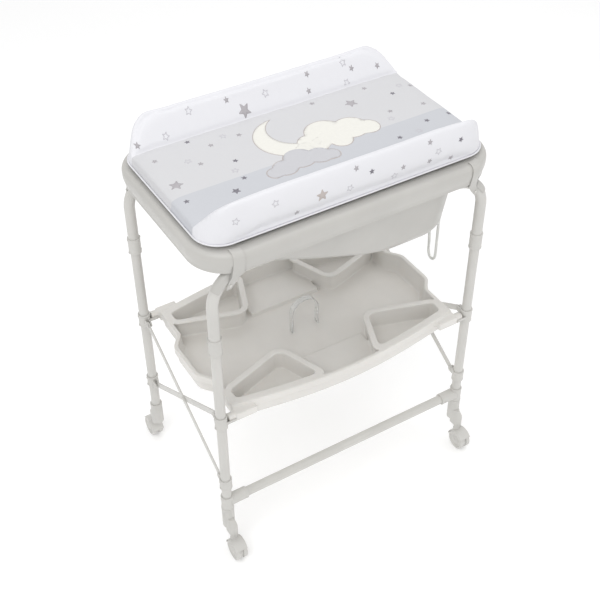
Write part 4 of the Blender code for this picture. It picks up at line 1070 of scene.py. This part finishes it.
def pocket_outline(grow):
    """Corner pocket in the +X, +Y quarter; `grow` moves its sides outward."""
    steps = 6
    xs = [POCKET_TIP_X + (POCKET_END_X - POCKET_TIP_X) * k / steps for k in range(steps + 1)]
    corners = [Vector(POCKET_APEX), Vector((POCKET_END_X, POCKET_END_Y))]
    corners += [Vector((x, edge_y(x) - POCKET_INSET)) for x in reversed(xs)]
    grown = []
    for i, here in enumerate(corners):
        before = (here - corners[i - 1]).normalized()
        after = (corners[(i + 1) % len(corners)] - here).normalized()
        normal = Vector((before.y + after.y, -before.x - after.x)).normalized()
        grown.append(here + normal * grow / max(normal.dot(Vector((before.y, -before.x))), 0.5))
    radii = [0.022 + grow, 0.012 + grow, 0.012 + grow] + [0.0] * (steps - 1) + [0.010 + grow]
    return rounded([tuple(p) for p in grown], radii, 8)


def pocket_prism(quarter, grow, low, high, taper=0.0):
    sx, sy = quarter
    lower = [Vector((sx * p.x, sy * p.y, low)) for p in pocket_outline(grow - taper)]
    upper = [Vector((sx * p.x, sy * p.y, high)) for p in pocket_outline(grow)]
    return skin([lower, upper])


def tray(look):
    """Moulded tray: built from solids, then remeshed so that every edge is softly rounded."""
    low, high, _ = span("shelf_tray")
    top, bottom = high.z, low.z
    floor = bottom + TRAY_FLOOR
    rings = [tray_outline(TRAY_TUCK, bottom), tray_outline(TRAY_TUCK * 0.6, bottom + 0.008),
             tray_outline(TRAY_LIP * 0.45, top - TRAY_SKIRT + 0.002), tray_outline(0.0, top - TRAY_SKIRT),
             tray_outline(0.0, top)]
    shell = link("storage_tray", skin(rings))
    hollow = [tray_outline(TRAY_TUCK + 0.006, floor), tray_outline(TRAY_TUCK + 0.003, floor + 0.006),
              tray_outline(TRAY_LIP, top - 0.010), tray_outline(TRAY_LIP, top + 0.010)]
    combine(shell, skin(hollow), "DIFFERENCE")
    for quarter in CORNERS.values():
        combine(shell, pocket_prism(quarter, POCKET_WALL, floor - 0.002, top - 0.0008), "UNION")
        combine(shell, pocket_prism(quarter, POCKET_RIM, top - POCKET_RIM_DEPTH, top - 0.0004), "UNION")
    far = TRAY_Y + TRAY_BULGE_Y - TRAY_TUCK - 0.006
    for sy in (-1, 1):
        near_y, far_y = sorted((sy * STEP_Y, sy * far))
        combine(shell, block((-STEP_X, near_y, floor - 0.001), (STEP_X, far_y, floor + STEP_HEIGHT)), "UNION")
    for quarter in CORNERS.values():
        combine(shell, pocket_prism(quarter, 0.0, floor + 0.003, top + 0.010, 0.003), "DIFFERENCE")
    stub_z = span("front_left_shelf_collar")[2].z + 0.001
    for sx, sy in CORNERS.values():
        near_y, far_y = sorted((sy * (TRAY_Y - TRAY_LIP * 0.6), sy * (Tub.leg_y + STUB_RADIUS)))
        near_x, far_x = sorted((sx * LUG_FROM, sx * LUG_TO))
        lug = block((near_x, near_y, stub_z - STUB_RADIUS), (far_x, far_y, stub_z + STUB_RADIUS))
        combine(shell, lug, "UNION")
        ends = [(sx * x, sy * Tub.leg_y, stub_z) for x in (LUG_TO - 0.004, Tub.leg_x - STUB_END)]
        combine(shell, rod(*ends, STUB_RADIUS - 0.0002, FINE), "UNION")
    for y in (-0.052, 0.052):
        groove = block((-0.27, y - 0.0008, floor - 0.0009), (0.27, y + 0.0008, floor + 0.004))
        combine(shell, groove, "DIFFERENCE")
    soften(shell, TRAY_VOXEL, 4)
    show(shell, look, "shelf", "tray_plastic", "shelf_tray")


def soften(obj, voxel, passes):
    """Rebuild the surface in small cells and smooth it, so that sharp edges become moulded ones."""
    remesh = obj.modifiers.new("remesh", "REMESH")
    remesh.mode = "VOXEL"
    remesh.voxel_size = voxel
    smooth = obj.modifiers.new("smooth", "SMOOTH")
    smooth.factor = 0.5
    smooth.iterations = passes
    thin = obj.modifiers.new("decimate", "DECIMATE")
    thin.ratio = 0.22
    apply_modifiers(obj)
    obj.data.shade_smooth()


def hoop(look):
    low, high, middle = span("bottle_hoop")
    radius = (high.x - low.x) / 2
    wall = 0.0018
    spring = high.z - radius
    width = high.y - low.y
    angles = [math.pi * k / 48 for k in range(49)]
    inner = radius - wall
    outline = [(middle.x + radius, 0, low.z)]
    outline += [(middle.x + radius * math.cos(a), 0, spring + radius * math.sin(a)) for a in angles]
    outline += [(middle.x - radius, 0, low.z), (middle.x - inner, 0, low.z)]
    outline += [(middle.x + inner * math.cos(a), 0, spring + inner * math.sin(a)) for a in reversed(angles)]
    outline.append((middle.x + inner, 0, low.z))
    obj = link("clear_hoop", prism(outline, (0, -width / 2, 0), (0, width, 0)))
    bevel(obj, 0.0005, 2, 50)
    show(obj, look, "shelf", "clear_plastic", "bottle_hoop")


# ============================================================================================
# changing pad
# ============================================================================================
PAD_CORNER = 0.062
PAD_FLAT = 0.978
FOLD_Y = 0.145
STRIPE_Y = -0.046
WING_TOP_Y, WING_THICKNESS = 0.196, 0.016
WING_FULL_X = 0.275                  # the wings have their full height up to here
PAD_WHITE = (0.755, 0.755, 0.785)
PAD_GREY = (0.62, 0.62, 0.635)
PAD_STRIPE = (0.545, 0.557, 0.59)
PAD_VOXEL = 0.0058
PAD_SHRINK = 0.0022
RIDGE_ALLOWANCE = 0.0025             # what the remesh takes off a ridge
PAD_SWELL = 0.0045                   # how far the cloth may move


class Pad:
    low, high, _ = span("pad_cushion")
    half_x, half_y, bottom, top = high.x, high.y, low.z, high.z


def wing_rise(x):
    """1 where the wings have their full height, falling to 0 at the pad's ends."""
    t = max(abs(x) - WING_FULL_X, 0.0) / (Pad.half_x - WING_FULL_X)
    return 1 - min(t, 1.0) ** 2.6


def pad_half(x, shrink):
    """Points of the rear half of the pad's section at `x`, from under the middle round to the flat."""
    inward = abs(x) - (Pad.half_x - PAD_CORNER)
    foot = Pad.half_y - shrink
    if inward > 0:
        foot -= PAD_CORNER - math.sqrt(max(PAD_CORNER ** 2 - inward ** 2, 0))
    rise = wing_rise(x)
    fold = min(FOLD_Y, foot - 0.012)
    top = PAD_FLAT + (Pad.top + RIDGE_ALLOWANCE - PAD_FLAT) * rise
    inner = fold + (WING_TOP_Y - WING_THICKNESS / 2 - FOLD_Y) * rise
    outer = min(inner + WING_THICKNESS - shrink, foot - 0.001)
    ease = 0.004 + 0.004 * rise
    bottom = Pad.bottom
    points = [(foot * k / 12, bottom) for k in range(12)]
    points += [(foot - 0.004 * (1 - math.sin(a)), bottom + 0.004 * (1 - math.cos(a)))
               for a in (math.radians(22.5 * k) for k in range(5))]
    shoulder = bottom + 0.018
    points += [(foot, bottom + 0.011), (foot, shoulder)]
    points += [(foot + (outer - foot) * t ** 1.3, shoulder + (top - ease - shoulder) * t)
               for t in (k / 12 for k in range(1, 13))]
    middle, half = (outer + inner) / 2, (outer - inner) / 2
    points += [(middle + half * math.cos(a), top - ease + ease * math.sin(a))
               for a in (math.radians(18 * k) for k in range(1, 10))]
    points += [(inner + (fold - inner) * t, top - ease + (PAD_FLAT - top + ease) * t)
               for t in (k / 14 for k in range(15))]
    points += [(fold * (1 - k / 12), PAD_FLAT - 0.0004) for k in range(1, 12)]
    return points


def pad_shape(shrink):
    stations = 90
    rings = []
    for k in range(stations + 1):
        x = (Pad.half_x - shrink) * math.sin(math.radians(-90 + 180 * k / stations))
        half = pad_half(x, shrink)
        ring = [Vector((x, y, z)) for y, z in half]
        ring += [Vector((x, 0, half[-1][1]))]
        ring += [Vector((x, -y, z)) for y, z in reversed(half[1:])]
        rings.append(ring)
    return skin(rings)


def remeshed(name, bm, voxel):
    obj = link(name, bm)
    modifier = obj.modifiers.new("remesh", "REMESH")
    modifier.mode = "VOXEL"
    modifier.voxel_size = voxel
    return apply_modifiers(obj)


def inflate(obj, cap, frames=20):
    """Blow the closed cloth up with a little pressure, and move each point by no more than `cap`."""
    cloth = obj.modifiers.new("cloth", "CLOTH")
    settings = cloth.settings
    settings.quality = 5
    settings.mass = 0.3
    settings.tension_stiffness = 18
    settings.compression_stiffness = 12
    settings.shear_stiffness = 8
    settings.bending_stiffness = 0.6
    settings.use_pressure = True
    settings.uniform_pressure_force = 4
    settings.effector_weights.gravity = 0
    scene = bpy.context.scene
    scene.frame_start, scene.frame_end = 1, frames
    rest = [v.co.copy() for v in obj.data.vertices]
    for number in range(1, frames + 1):
        scene.frame_set(number)
    blown = obj.evaluated_get(bpy.context.evaluated_depsgraph_get()).data
    moved = [v.co.copy() for v in blown.vertices]
    obj.modifiers.clear()
    scene.frame_set(1)
    for vertex, start, end in zip(obj.data.vertices, rest, moved):
        step = end - start
        if step.length > cap:
            step *= cap / step.length
        vertex.co = start + step * seam_hold(start)
    obj.data.update()


def seam_hold(point):
    """0 at the bottom and on the welded fold lines, 1 away from them: how freely the cloth moves."""
    up = min(max((point.z - Pad.bottom - 0.003) / 0.012, 0.0), 1.0)
    fold = min(abs(abs(point.y) - FOLD_Y) / 0.010, 1.0) if point.z < PAD_FLAT + 0.006 else 1.0
    return up * (0.25 + 0.75 * fold)


def dress(obj):
    """Welded fold lines, soft creases near the folds, and a slightly uneven surface."""
    for vertex in obj.data.vertices:
        p = vertex.co
        if p.z < Pad.bottom + 0.004:
            continue
        wave = noise.noise(Vector((p.x * 9, p.y * 9, p.z * 9))) * 0.0011
        fine = noise.noise(Vector((p.x * 34, p.y * 22, p.z * 22 + 5))) * 0.00045
        near_fold = math.exp(-((abs(p.y) - FOLD_Y) / 0.0035) ** 2) if p.z < PAD_FLAT + 0.008 else 0.0
        beside = math.exp(-((abs(p.y) - FOLD_Y) / 0.030) ** 2)
        crease = 0.0009 * beside * noise.noise(Vector((p.x * 46, 3.1 * math.copysign(1, p.y), p.z * 12)))
        p.z += wave + fine + crease - 0.0022 * near_fold
    obj.data.update()


def piping_path(inset, z):
    return rounded_box(Pad.half_x - inset, Pad.half_y - inset, PAD_CORNER - inset, z, steps=20)


def closed_tube(points, radius, sides=12):
    """Tube along a closed level path."""
    rings = []
    count = len(points)
    for i, point in enumerate(points):
        along = (points[(i + 1) % count] - points[i - 1]).normalized()
        across = along.cross(Vector((0, 0, 1)))
        angles = (2 * math.pi * k / sides for k in range(sides))
        rings.append([point + radius * (math.cos(a) * across + math.sin(a) * Vector((0, 0, 1)))
                      for a in angles])
    return skin(rings, loop=True)


def cushion(look, trim):
    obj = remeshed("soft_pad", pad_shape(PAD_SHRINK), PAD_VOXEL)
    inflate(obj, PAD_SWELL)
    subdivide = obj.modifiers.new("subdivide", "SUBSURF")
    subdivide.levels = subdivide.render_levels = 1
    apply_modifiers(obj)
    dress(obj)
    obj.data.shade_smooth()
    show(obj, look, "pad", "pad_vinyl", "pad_cushion")
    bead = link("pad_piping", closed_tube(piping_path(0.0012, Pad.bottom + 0.0052), 0.0019))
    show(bead, trim, "pad", "pad_vinyl")
    return obj


# ============================================================================================
# print on the pad: stars, and a moon with a cloud
# ============================================================================================
INK_DARK = (0.20, 0.19, 0.22)
INK_MID = (0.42, 0.40, 0.42)
INK_TAUPE = (0.50, 0.45, 0.43)
INK_PALE = (0.56, 0.55, 0.585)
INK_CREAM = (0.78, 0.77, 0.72)
INK_SOFT = (0.55, 0.55, 0.575)
SMALL, MEDIUM, LARGE, OPEN = 0.0075, 0.0115, 0.0175, 0.0098     # star radii
INK_LIFT = 0.00022
INK_THICKNESS = 0.0004
LINE_WIDTH = 0.0021
STAMP_BACK, STAMP_REACH = 0.10, 0.20
STAMP_EDGE = 0.015                  # an edge longer than this has slipped off the surface

OPEN_STAR = 0.64           # inside of an open star's line, as a share of the star
# (along, across, radius) on the flat; open stars are only outlines
FLAT_DARK = [(-0.225, 0.130, SMALL), (-0.170, 0.010, SMALL), (0.280, 0.065, SMALL), (-0.185, -0.056, SMALL),
             (-0.222, -0.089, MEDIUM), (-0.326, -0.068, SMALL), (0.277, -0.074, SMALL),
             (0.340, -0.072, SMALL),
             (0.184, -0.100, SMALL), (-0.023, -0.126, SMALL), (0.197, -0.125, SMALL)]
FLAT_MID = [(-0.187, 0.091, SMALL), (-0.114, 0.096, SMALL), (-0.319, 0.098, SMALL), (-0.239, 0.038, SMALL),
            (0.236, 0.119, SMALL), (0.229, 0.002, SMALL), (0.314, -0.010, SMALL), (0.338, 0.075, SMALL),
            (-0.100, -0.125, SMALL), (0.095, 0.125, SMALL)]
FLAT_LARGE = [(-0.319, -0.006, LARGE), (0.172, 0.078, LARGE)]
FLAT_OPEN = [(-0.147, 0.109, OPEN), (-0.258, 0.061, OPEN), (-0.188, -0.022, OPEN), (0.314, 0.087, OPEN),
             (0.213, -0.025, OPEN), (0.237, -0.099, OPEN)]
# (along, height, radius) on the raised sides
REAR_OPEN = [(-0.195, 1.028, OPEN), (-0.004, 1.018, OPEN), (-0.264, 0.997, OPEN), (0.212, 1.030, OPEN),
             (0.207, 0.991, OPEN)]
REAR_MID = [(-0.101, 1.027, SMALL), (0.112, 1.029, SMALL), (0.104, 0.998, SMALL), (0.230, 1.015, SMALL),
            (0.300, 1.005, SMALL), (-0.332, 0.995, SMALL)]
REAR_LARGE = [(-0.066, 0.999, LARGE)]
FRONT_OPEN = [(-0.287, 1.004, OPEN), (-0.197, 1.014, OPEN), (-0.020, 0.987, OPEN), (0.093, 0.976, OPEN),
              (0.206, 0.999, OPEN)]
FRONT_DARK = [(0.034, 1.008, SMALL), (0.266, 1.008, SMALL)]
FRONT_MID = [(0.114, 0.991, SMALL), (0.184, 0.982, SMALL), (-0.147, 0.972, SMALL), (0.245, 0.968, SMALL),
             (-0.003, 1.027, SMALL), (0.184, 1.027, SMALL)]
FRONT_LARGE = [(-0.088, 0.994, LARGE * 0.9)]


def star_outline(radius, turn, share=0.45):
    """Five-pointed star about the origin, with slightly blunt points."""
    points = []
    for k in range(10):
        a = turn + math.radians(36 * k)
        r = radius if k % 2 == 0 else radius * share
        points.append((r * math.sin(a), r * math.cos(a)))
    return [tuple(p) for p in rounded(points, radius * 0.06, 2)]


def cloud_outline(circles, points=120):
    """Outline of several overlapping circles, as seen from the origin inside them."""
    made = []
    for k in range(points):
        a = 2 * math.pi * k / points
        reach = 0.0
        for cx, cy, r in circles:
            along = cx * math.cos(a) + cy * math.sin(a)
            off = cx * math.sin(a) - cy * math.cos(a)
            if r * r > off * off:
                reach = max(reach, along + math.sqrt(r * r - off * off))
        made.append((reach * math.cos(a), reach * math.sin(a)))
    return made


def moon_outline(radius, bite, shift, turn, points=40):
    """Crescent between a circle and a smaller circle shifted to one side."""
    cross = (radius ** 2 - bite ** 2 + shift ** 2) / (2 * shift)
    side = math.sqrt(radius ** 2 - cross ** 2)
    outer_from = math.atan2(side, cross)
    inner_from = math.atan2(side, cross - shift)
    outer = [outer_from + (2 * math.pi - 2 * outer_from) * k / points for k in range(points + 1)]
    inner = [2 * math.pi - inner_from - (2 * math.pi - 2 * inner_from) * k / points for k in range(1, points)]
    made = [(radius * math.cos(a), radius * math.sin(a)) for a in outer]
    made += [(shift + bite * math.cos(a), bite * math.sin(a)) for a in inner]
    cos, sin = math.cos(turn), math.sin(turn)
    return [(x * cos - y * sin, x * sin + y * cos) for x, y in made]


class Print:
    """Collects printed shapes of one ink and lays them on the pad's surface."""

    def __init__(self, name, look, surface, lift=INK_LIFT):
        self.name, self.look, self.surface, self.lift = name, look, surface, lift
        self.whole = bmesh.new()

    def stamp(self, outline, place, ray, up, hole=None):
        """`place` is the middle, `ray` points at the surface and `up` is the print's upward side."""
        bm = bmesh.new()
        loops = [outline] + ([hole] if hole else [])
        edges = []
        for loop in loops:
            verts = [bm.verts.new((x, y, 0)) for x, y in loop]
            edges += [bm.edges.new((verts[i - 1], verts[i])) for i in range(len(verts))]
        bmesh.ops.triangle_fill(bm, edges=edges, use_beauty=True)
        for _ in range(3):
            long_edges = [e for e in bm.edges if e.calc_length() > 0.006]
            if not long_edges:
                break
            bmesh.ops.subdivide_edges(bm, edges=long_edges, cuts=1)
            bmesh.ops.triangulate(bm, faces=bm.faces)
        right = Vector(up).cross(-Vector(ray)).normalized()
        missed = []
        for vertex in bm.verts:
            start = Vector(place) - Vector(ray) * STAMP_BACK + right * vertex.co.x + Vector(up) * vertex.co.y
            hit, normal, _, _ = self.surface.ray_cast(start, Vector(ray), STAMP_REACH)
            if hit is None:
                missed.append(vertex)
                continue
            if normal.dot(Vector(ray)) > 0:
                normal = -normal
            vertex.co = hit + normal * self.lift
        torn = set(missed)
        torn.update(v for e in bm.edges if e.calc_length() > STAMP_EDGE for v in e.verts)
        if torn:
            bmesh.ops.delete(bm, geom=list(torn), context="VERTS")
        mesh = bpy.data.meshes.new("stamp")
        for face in bm.faces:
            face.normal_update()
        facing = sum((f.normal.dot(Vector(ray)) for f in bm.faces), 0.0)
        if facing > 0:
            bmesh.ops.reverse_faces(bm, faces=bm.faces)
        bm.to_mesh(mesh)
        bm.free()
        self.whole.from_mesh(mesh)
        bpy.data.meshes.remove(mesh)

    def finish(self):
        mesh = bpy.data.meshes.new(self.name)
        self.whole.to_mesh(mesh)
        self.whole.free()
        mesh.shade_smooth()
        obj = bpy.data.objects.new(self.name, mesh)
        bpy.context.scene.collection.objects.link(obj)
        solid = obj.modifiers.new("solid", "SOLIDIFY")
        solid.thickness = INK_THICKNESS
        solid.offset = -1
        show(obj, self.look, "pad", "pad_vinyl")


DOWN, UP_FLAT = (0, 0, -1), (0, 1, 0)
TO_REAR, TO_FRONT, UP_WALL = (0, 1, 0), (0, -1, 0), (0, 0, 1)


def flat_spot(x, y):
    return (x, y, PAD_FLAT)


def stars(ink, spots, kind, turn_step=0.55):
    """Stamp solid stars; `kind` says which face they lie on."""
    for index, (along, across, radius) in enumerate(spots):
        turn = index * turn_step
        place_star(ink, kind, along, across, star_outline(radius, turn), None)


def open_stars(ink, spots, kind):
    for index, (along, across, radius) in enumerate(spots):
        turn = 0.3 + index * 0.7
        outside = star_outline(radius, turn, 0.5)
        inside = star_outline(radius * OPEN_STAR, turn, 0.5)
        place_star(ink, kind, along, across, outside, inside)


def place_star(ink, kind, along, across, outline, hole):
    if kind == "flat":
        ink.stamp(outline, flat_spot(along, across), DOWN, UP_FLAT, hole)
        return
    clear_of_flat = across > PAD_FLAT + 0.016
    if kind == "rear":
        ink.stamp(outline, (along, 0.13, across), TO_REAR, UP_WALL, hole)
        ink.stamp(outline, (-along, 0.26, across), TO_FRONT, UP_WALL, hole)
    else:
        ink.stamp(outline, (along, -0.26, across), TO_REAR, UP_WALL, hole)
        if clear_of_flat:
            ink.stamp(outline, (-along, -0.13, across), TO_FRONT, UP_WALL, hole)


def printed_pattern(pad):
    surface = BVHTree.FromObject(pad, bpy.context.evaluated_depsgraph_get())
    dark = Print("print_dark", print_ink("ink_dark", INK_DARK), surface)
    mid = Print("print_mid", print_ink("ink_mid", INK_MID), surface)
    taupe = Print("print_taupe", print_ink("ink_taupe", INK_TAUPE), surface)
    pale = Print("print_pale", print_ink("ink_pale", INK_PALE), surface)
    stars(dark, FLAT_DARK, "flat")
    stars(dark, FRONT_DARK, "front")
    stars(mid, FLAT_MID + FLAT_LARGE, "flat")
    stars(mid, REAR_MID + REAR_LARGE, "rear")
    stars(mid, FRONT_MID, "front")
    stars(taupe, FRONT_LARGE, "front", 0.2)
    open_stars(pale, FLAT_OPEN, "flat")
    open_stars(pale, REAR_OPEN, "rear")
    open_stars(pale, FRONT_OPEN, "front")
    motif(surface)
    for ink in (dark, mid, taupe, pale):
        ink.finish()


def motif(surface):
    """A crescent moon resting on two clouds, in the middle of the flat."""
    line = Print("print_line", print_ink("ink_line", INK_TAUPE), surface, INK_LIFT)
    cream = Print("print_cream", print_ink("ink_cream", INK_CREAM), surface, INK_LIFT * 2)
    soft = Print("print_soft", print_ink("ink_soft", INK_SOFT), surface, INK_LIFT * 3)
    lean = math.radians(38)
    back_cloud = [(-0.060, -0.006, 0.036), (-0.014, 0.018, 0.048), (0.044, 0.006, 0.040),
                  (0.080, -0.012, 0.026), (-0.090, -0.018, 0.022), (0.0, -0.024, 0.026)]
    front_cloud = [(-0.044, -0.004, 0.027), (0.0, 0.012, 0.035), (0.044, 0.0, 0.028),
                   (0.070, -0.010, 0.018), (-0.072, -0.010, 0.018)]
    moon_line = moon_outline(0.0795, 0.0630, 0.036, lean)
    moon = moon_outline(0.078, 0.0645, 0.036, lean)
    shapes = ((moon_line, moon, (-0.024, 0.034), cream),
              (cloud_outline(grown(back_cloud)), cloud_outline(back_cloud), (0.070, -0.014), cream),
              (cloud_outline(grown(front_cloud)), cloud_outline(front_cloud), (-0.048, -0.066), soft))
    for outside, inside, (x, y), ink in shapes:
        line.stamp(outside, flat_spot(x, y), DOWN, UP_FLAT)
        ink.stamp(inside, flat_spot(x, y), DOWN, UP_FLAT)
    for ink in (line, cream, soft):
        ink.finish()


def grown(circles):
    return [(x, y, r + LINE_WIDTH) for x, y, r in circles]


# ============================================================================================
# stage
# ============================================================================================
CAMERA_AT = (-1.0311, -1.6808, 2.2402)
CAMERA_TO = (-0.0158, 0.0, 0.5216)
CAMERA_ROLL = -0.29
CAMERA_LENS = 62.98
SENSOR = 36.0


def camera():
    data = bpy.data.cameras.new("camera")
    data.sensor_width = SENSOR
    data.lens = CAMERA_LENS
    obj = bpy.data.objects.new("camera", data)
    bpy.context.scene.collection.objects.link(obj)
    obj.location = CAMERA_AT
    aim = (Vector(CAMERA_TO) - Vector(CAMERA_AT)).to_track_quat("-Z", "Y")
    obj.rotation_mode = "QUATERNION"
    obj.rotation_quaternion = aim @ Matrix.Rotation(math.radians(CAMERA_ROLL), 3, "Z").to_quaternion()
    bpy.context.scene.camera = obj


def floor():
    size = 30.0
    bm = bmesh.new()
    bmesh.ops.create_grid(bm, x_segments=4, y_segments=4, size=size)
    obj = link("floor", bm)
    obj.location.z = -0.0002
    obj.data.materials.append(floor_look())


def area_light(name, place, target, size, power, colour=(1, 1, 1)):
    data = bpy.data.lights.new(name, "AREA")
    data.shape = "DISK"
    data.size = size
    data.energy = power
    data.color = colour
    obj = bpy.data.objects.new(name, data)
    bpy.context.scene.collection.objects.link(obj)
    obj.location = place
    obj.rotation_mode = "QUATERNION"
    obj.rotation_quaternion = (Vector(target) - Vector(place)).to_track_quat("-Z", "Y")


def lights():
    middle = (0, 0, 0.55)
    area_light("key", (-1.8, -1.6, 3.4), middle, 2.6, 40)
    area_light("top", (0.6, 0.5, 3.8), middle, 3.2, 24)
    area_light("fill", (3.0, -2.2, 1.8), middle, 2.8, 14)
    world = bpy.data.worlds.new("world")
    bpy.context.scene.world = world
    world.use_nodes = True
    back = world.node_tree.nodes["Background"]
    back.inputs["Color"].default_value = (1.0, 1.0, 1.0, 1.0)
    back.inputs["Strength"].default_value = 0.74
    settings = bpy.context.scene.view_settings
    settings.view_transform = "Standard"
    settings.look = "None"


# ============================================================================================
# the whole table
# ============================================================================================
PAINT = (0.59, 0.58, 0.553)
FITTING = (0.585, 0.575, 0.548)
TUB = (0.515, 0.505, 0.480)
TRAY = (0.74, 0.722, 0.690)
CASTER = (0.60, 0.59, 0.565)


def main():
    camera()
    hose(silicone())
    paint = painted_metal("frame_paint", PAINT)
    fitting = moulded_plastic("fitting_plastic", FITTING, 0.42)
    caster_plastic = moulded_plastic("caster_plastic", CASTER, 0.42)
    metal = steel()
    tub_look = moulded_plastic("tub_plastic", TUB, 0.33, grain=0.06)
    for side in ("front", "rear"):
        upper_tube(side, paint)
    for corner in CORNERS:
        leg_tube(corner, paint)
        sleeve(corner, fitting)
        collar(corner, "shelf", fitting)
        collar(corner, "brace", fitting)
        foot(corner, fitting)
        caster(corner, caster_plastic)
        wheel(corner, "inner", caster_plastic)
        wheel(corner, "outer", caster_plastic)
        bracket(corner, tub_look, metal)
    bottom_bar(paint)
    for side, sx in (("left", -1), ("right", 1)):
        tee(side, sx, fitting)
        brace(side, "rising", paint)
        brace(side, "falling", paint)
        rivet(side, metal)
        carried(f"{side}_hinge_mount", fitting, 0.0006)
        carried(f"{side}_hinge_leaf", fitting, 0.0005)
    tub(tub_look)
    drain(fitting)
    clip(fitting)
    carried("pad_board", painted_board(), 0.0008)
    tray(moulded_plastic("tray_plastic", TRAY, 0.40, grain=0.10, subsurface=0.05))
    hoop(clear_plastic())
    pad = cushion(pad_vinyl(), print_ink("piping", PAD_WHITE))
    printed_pattern(pad)
    floor()
    lights()


main()
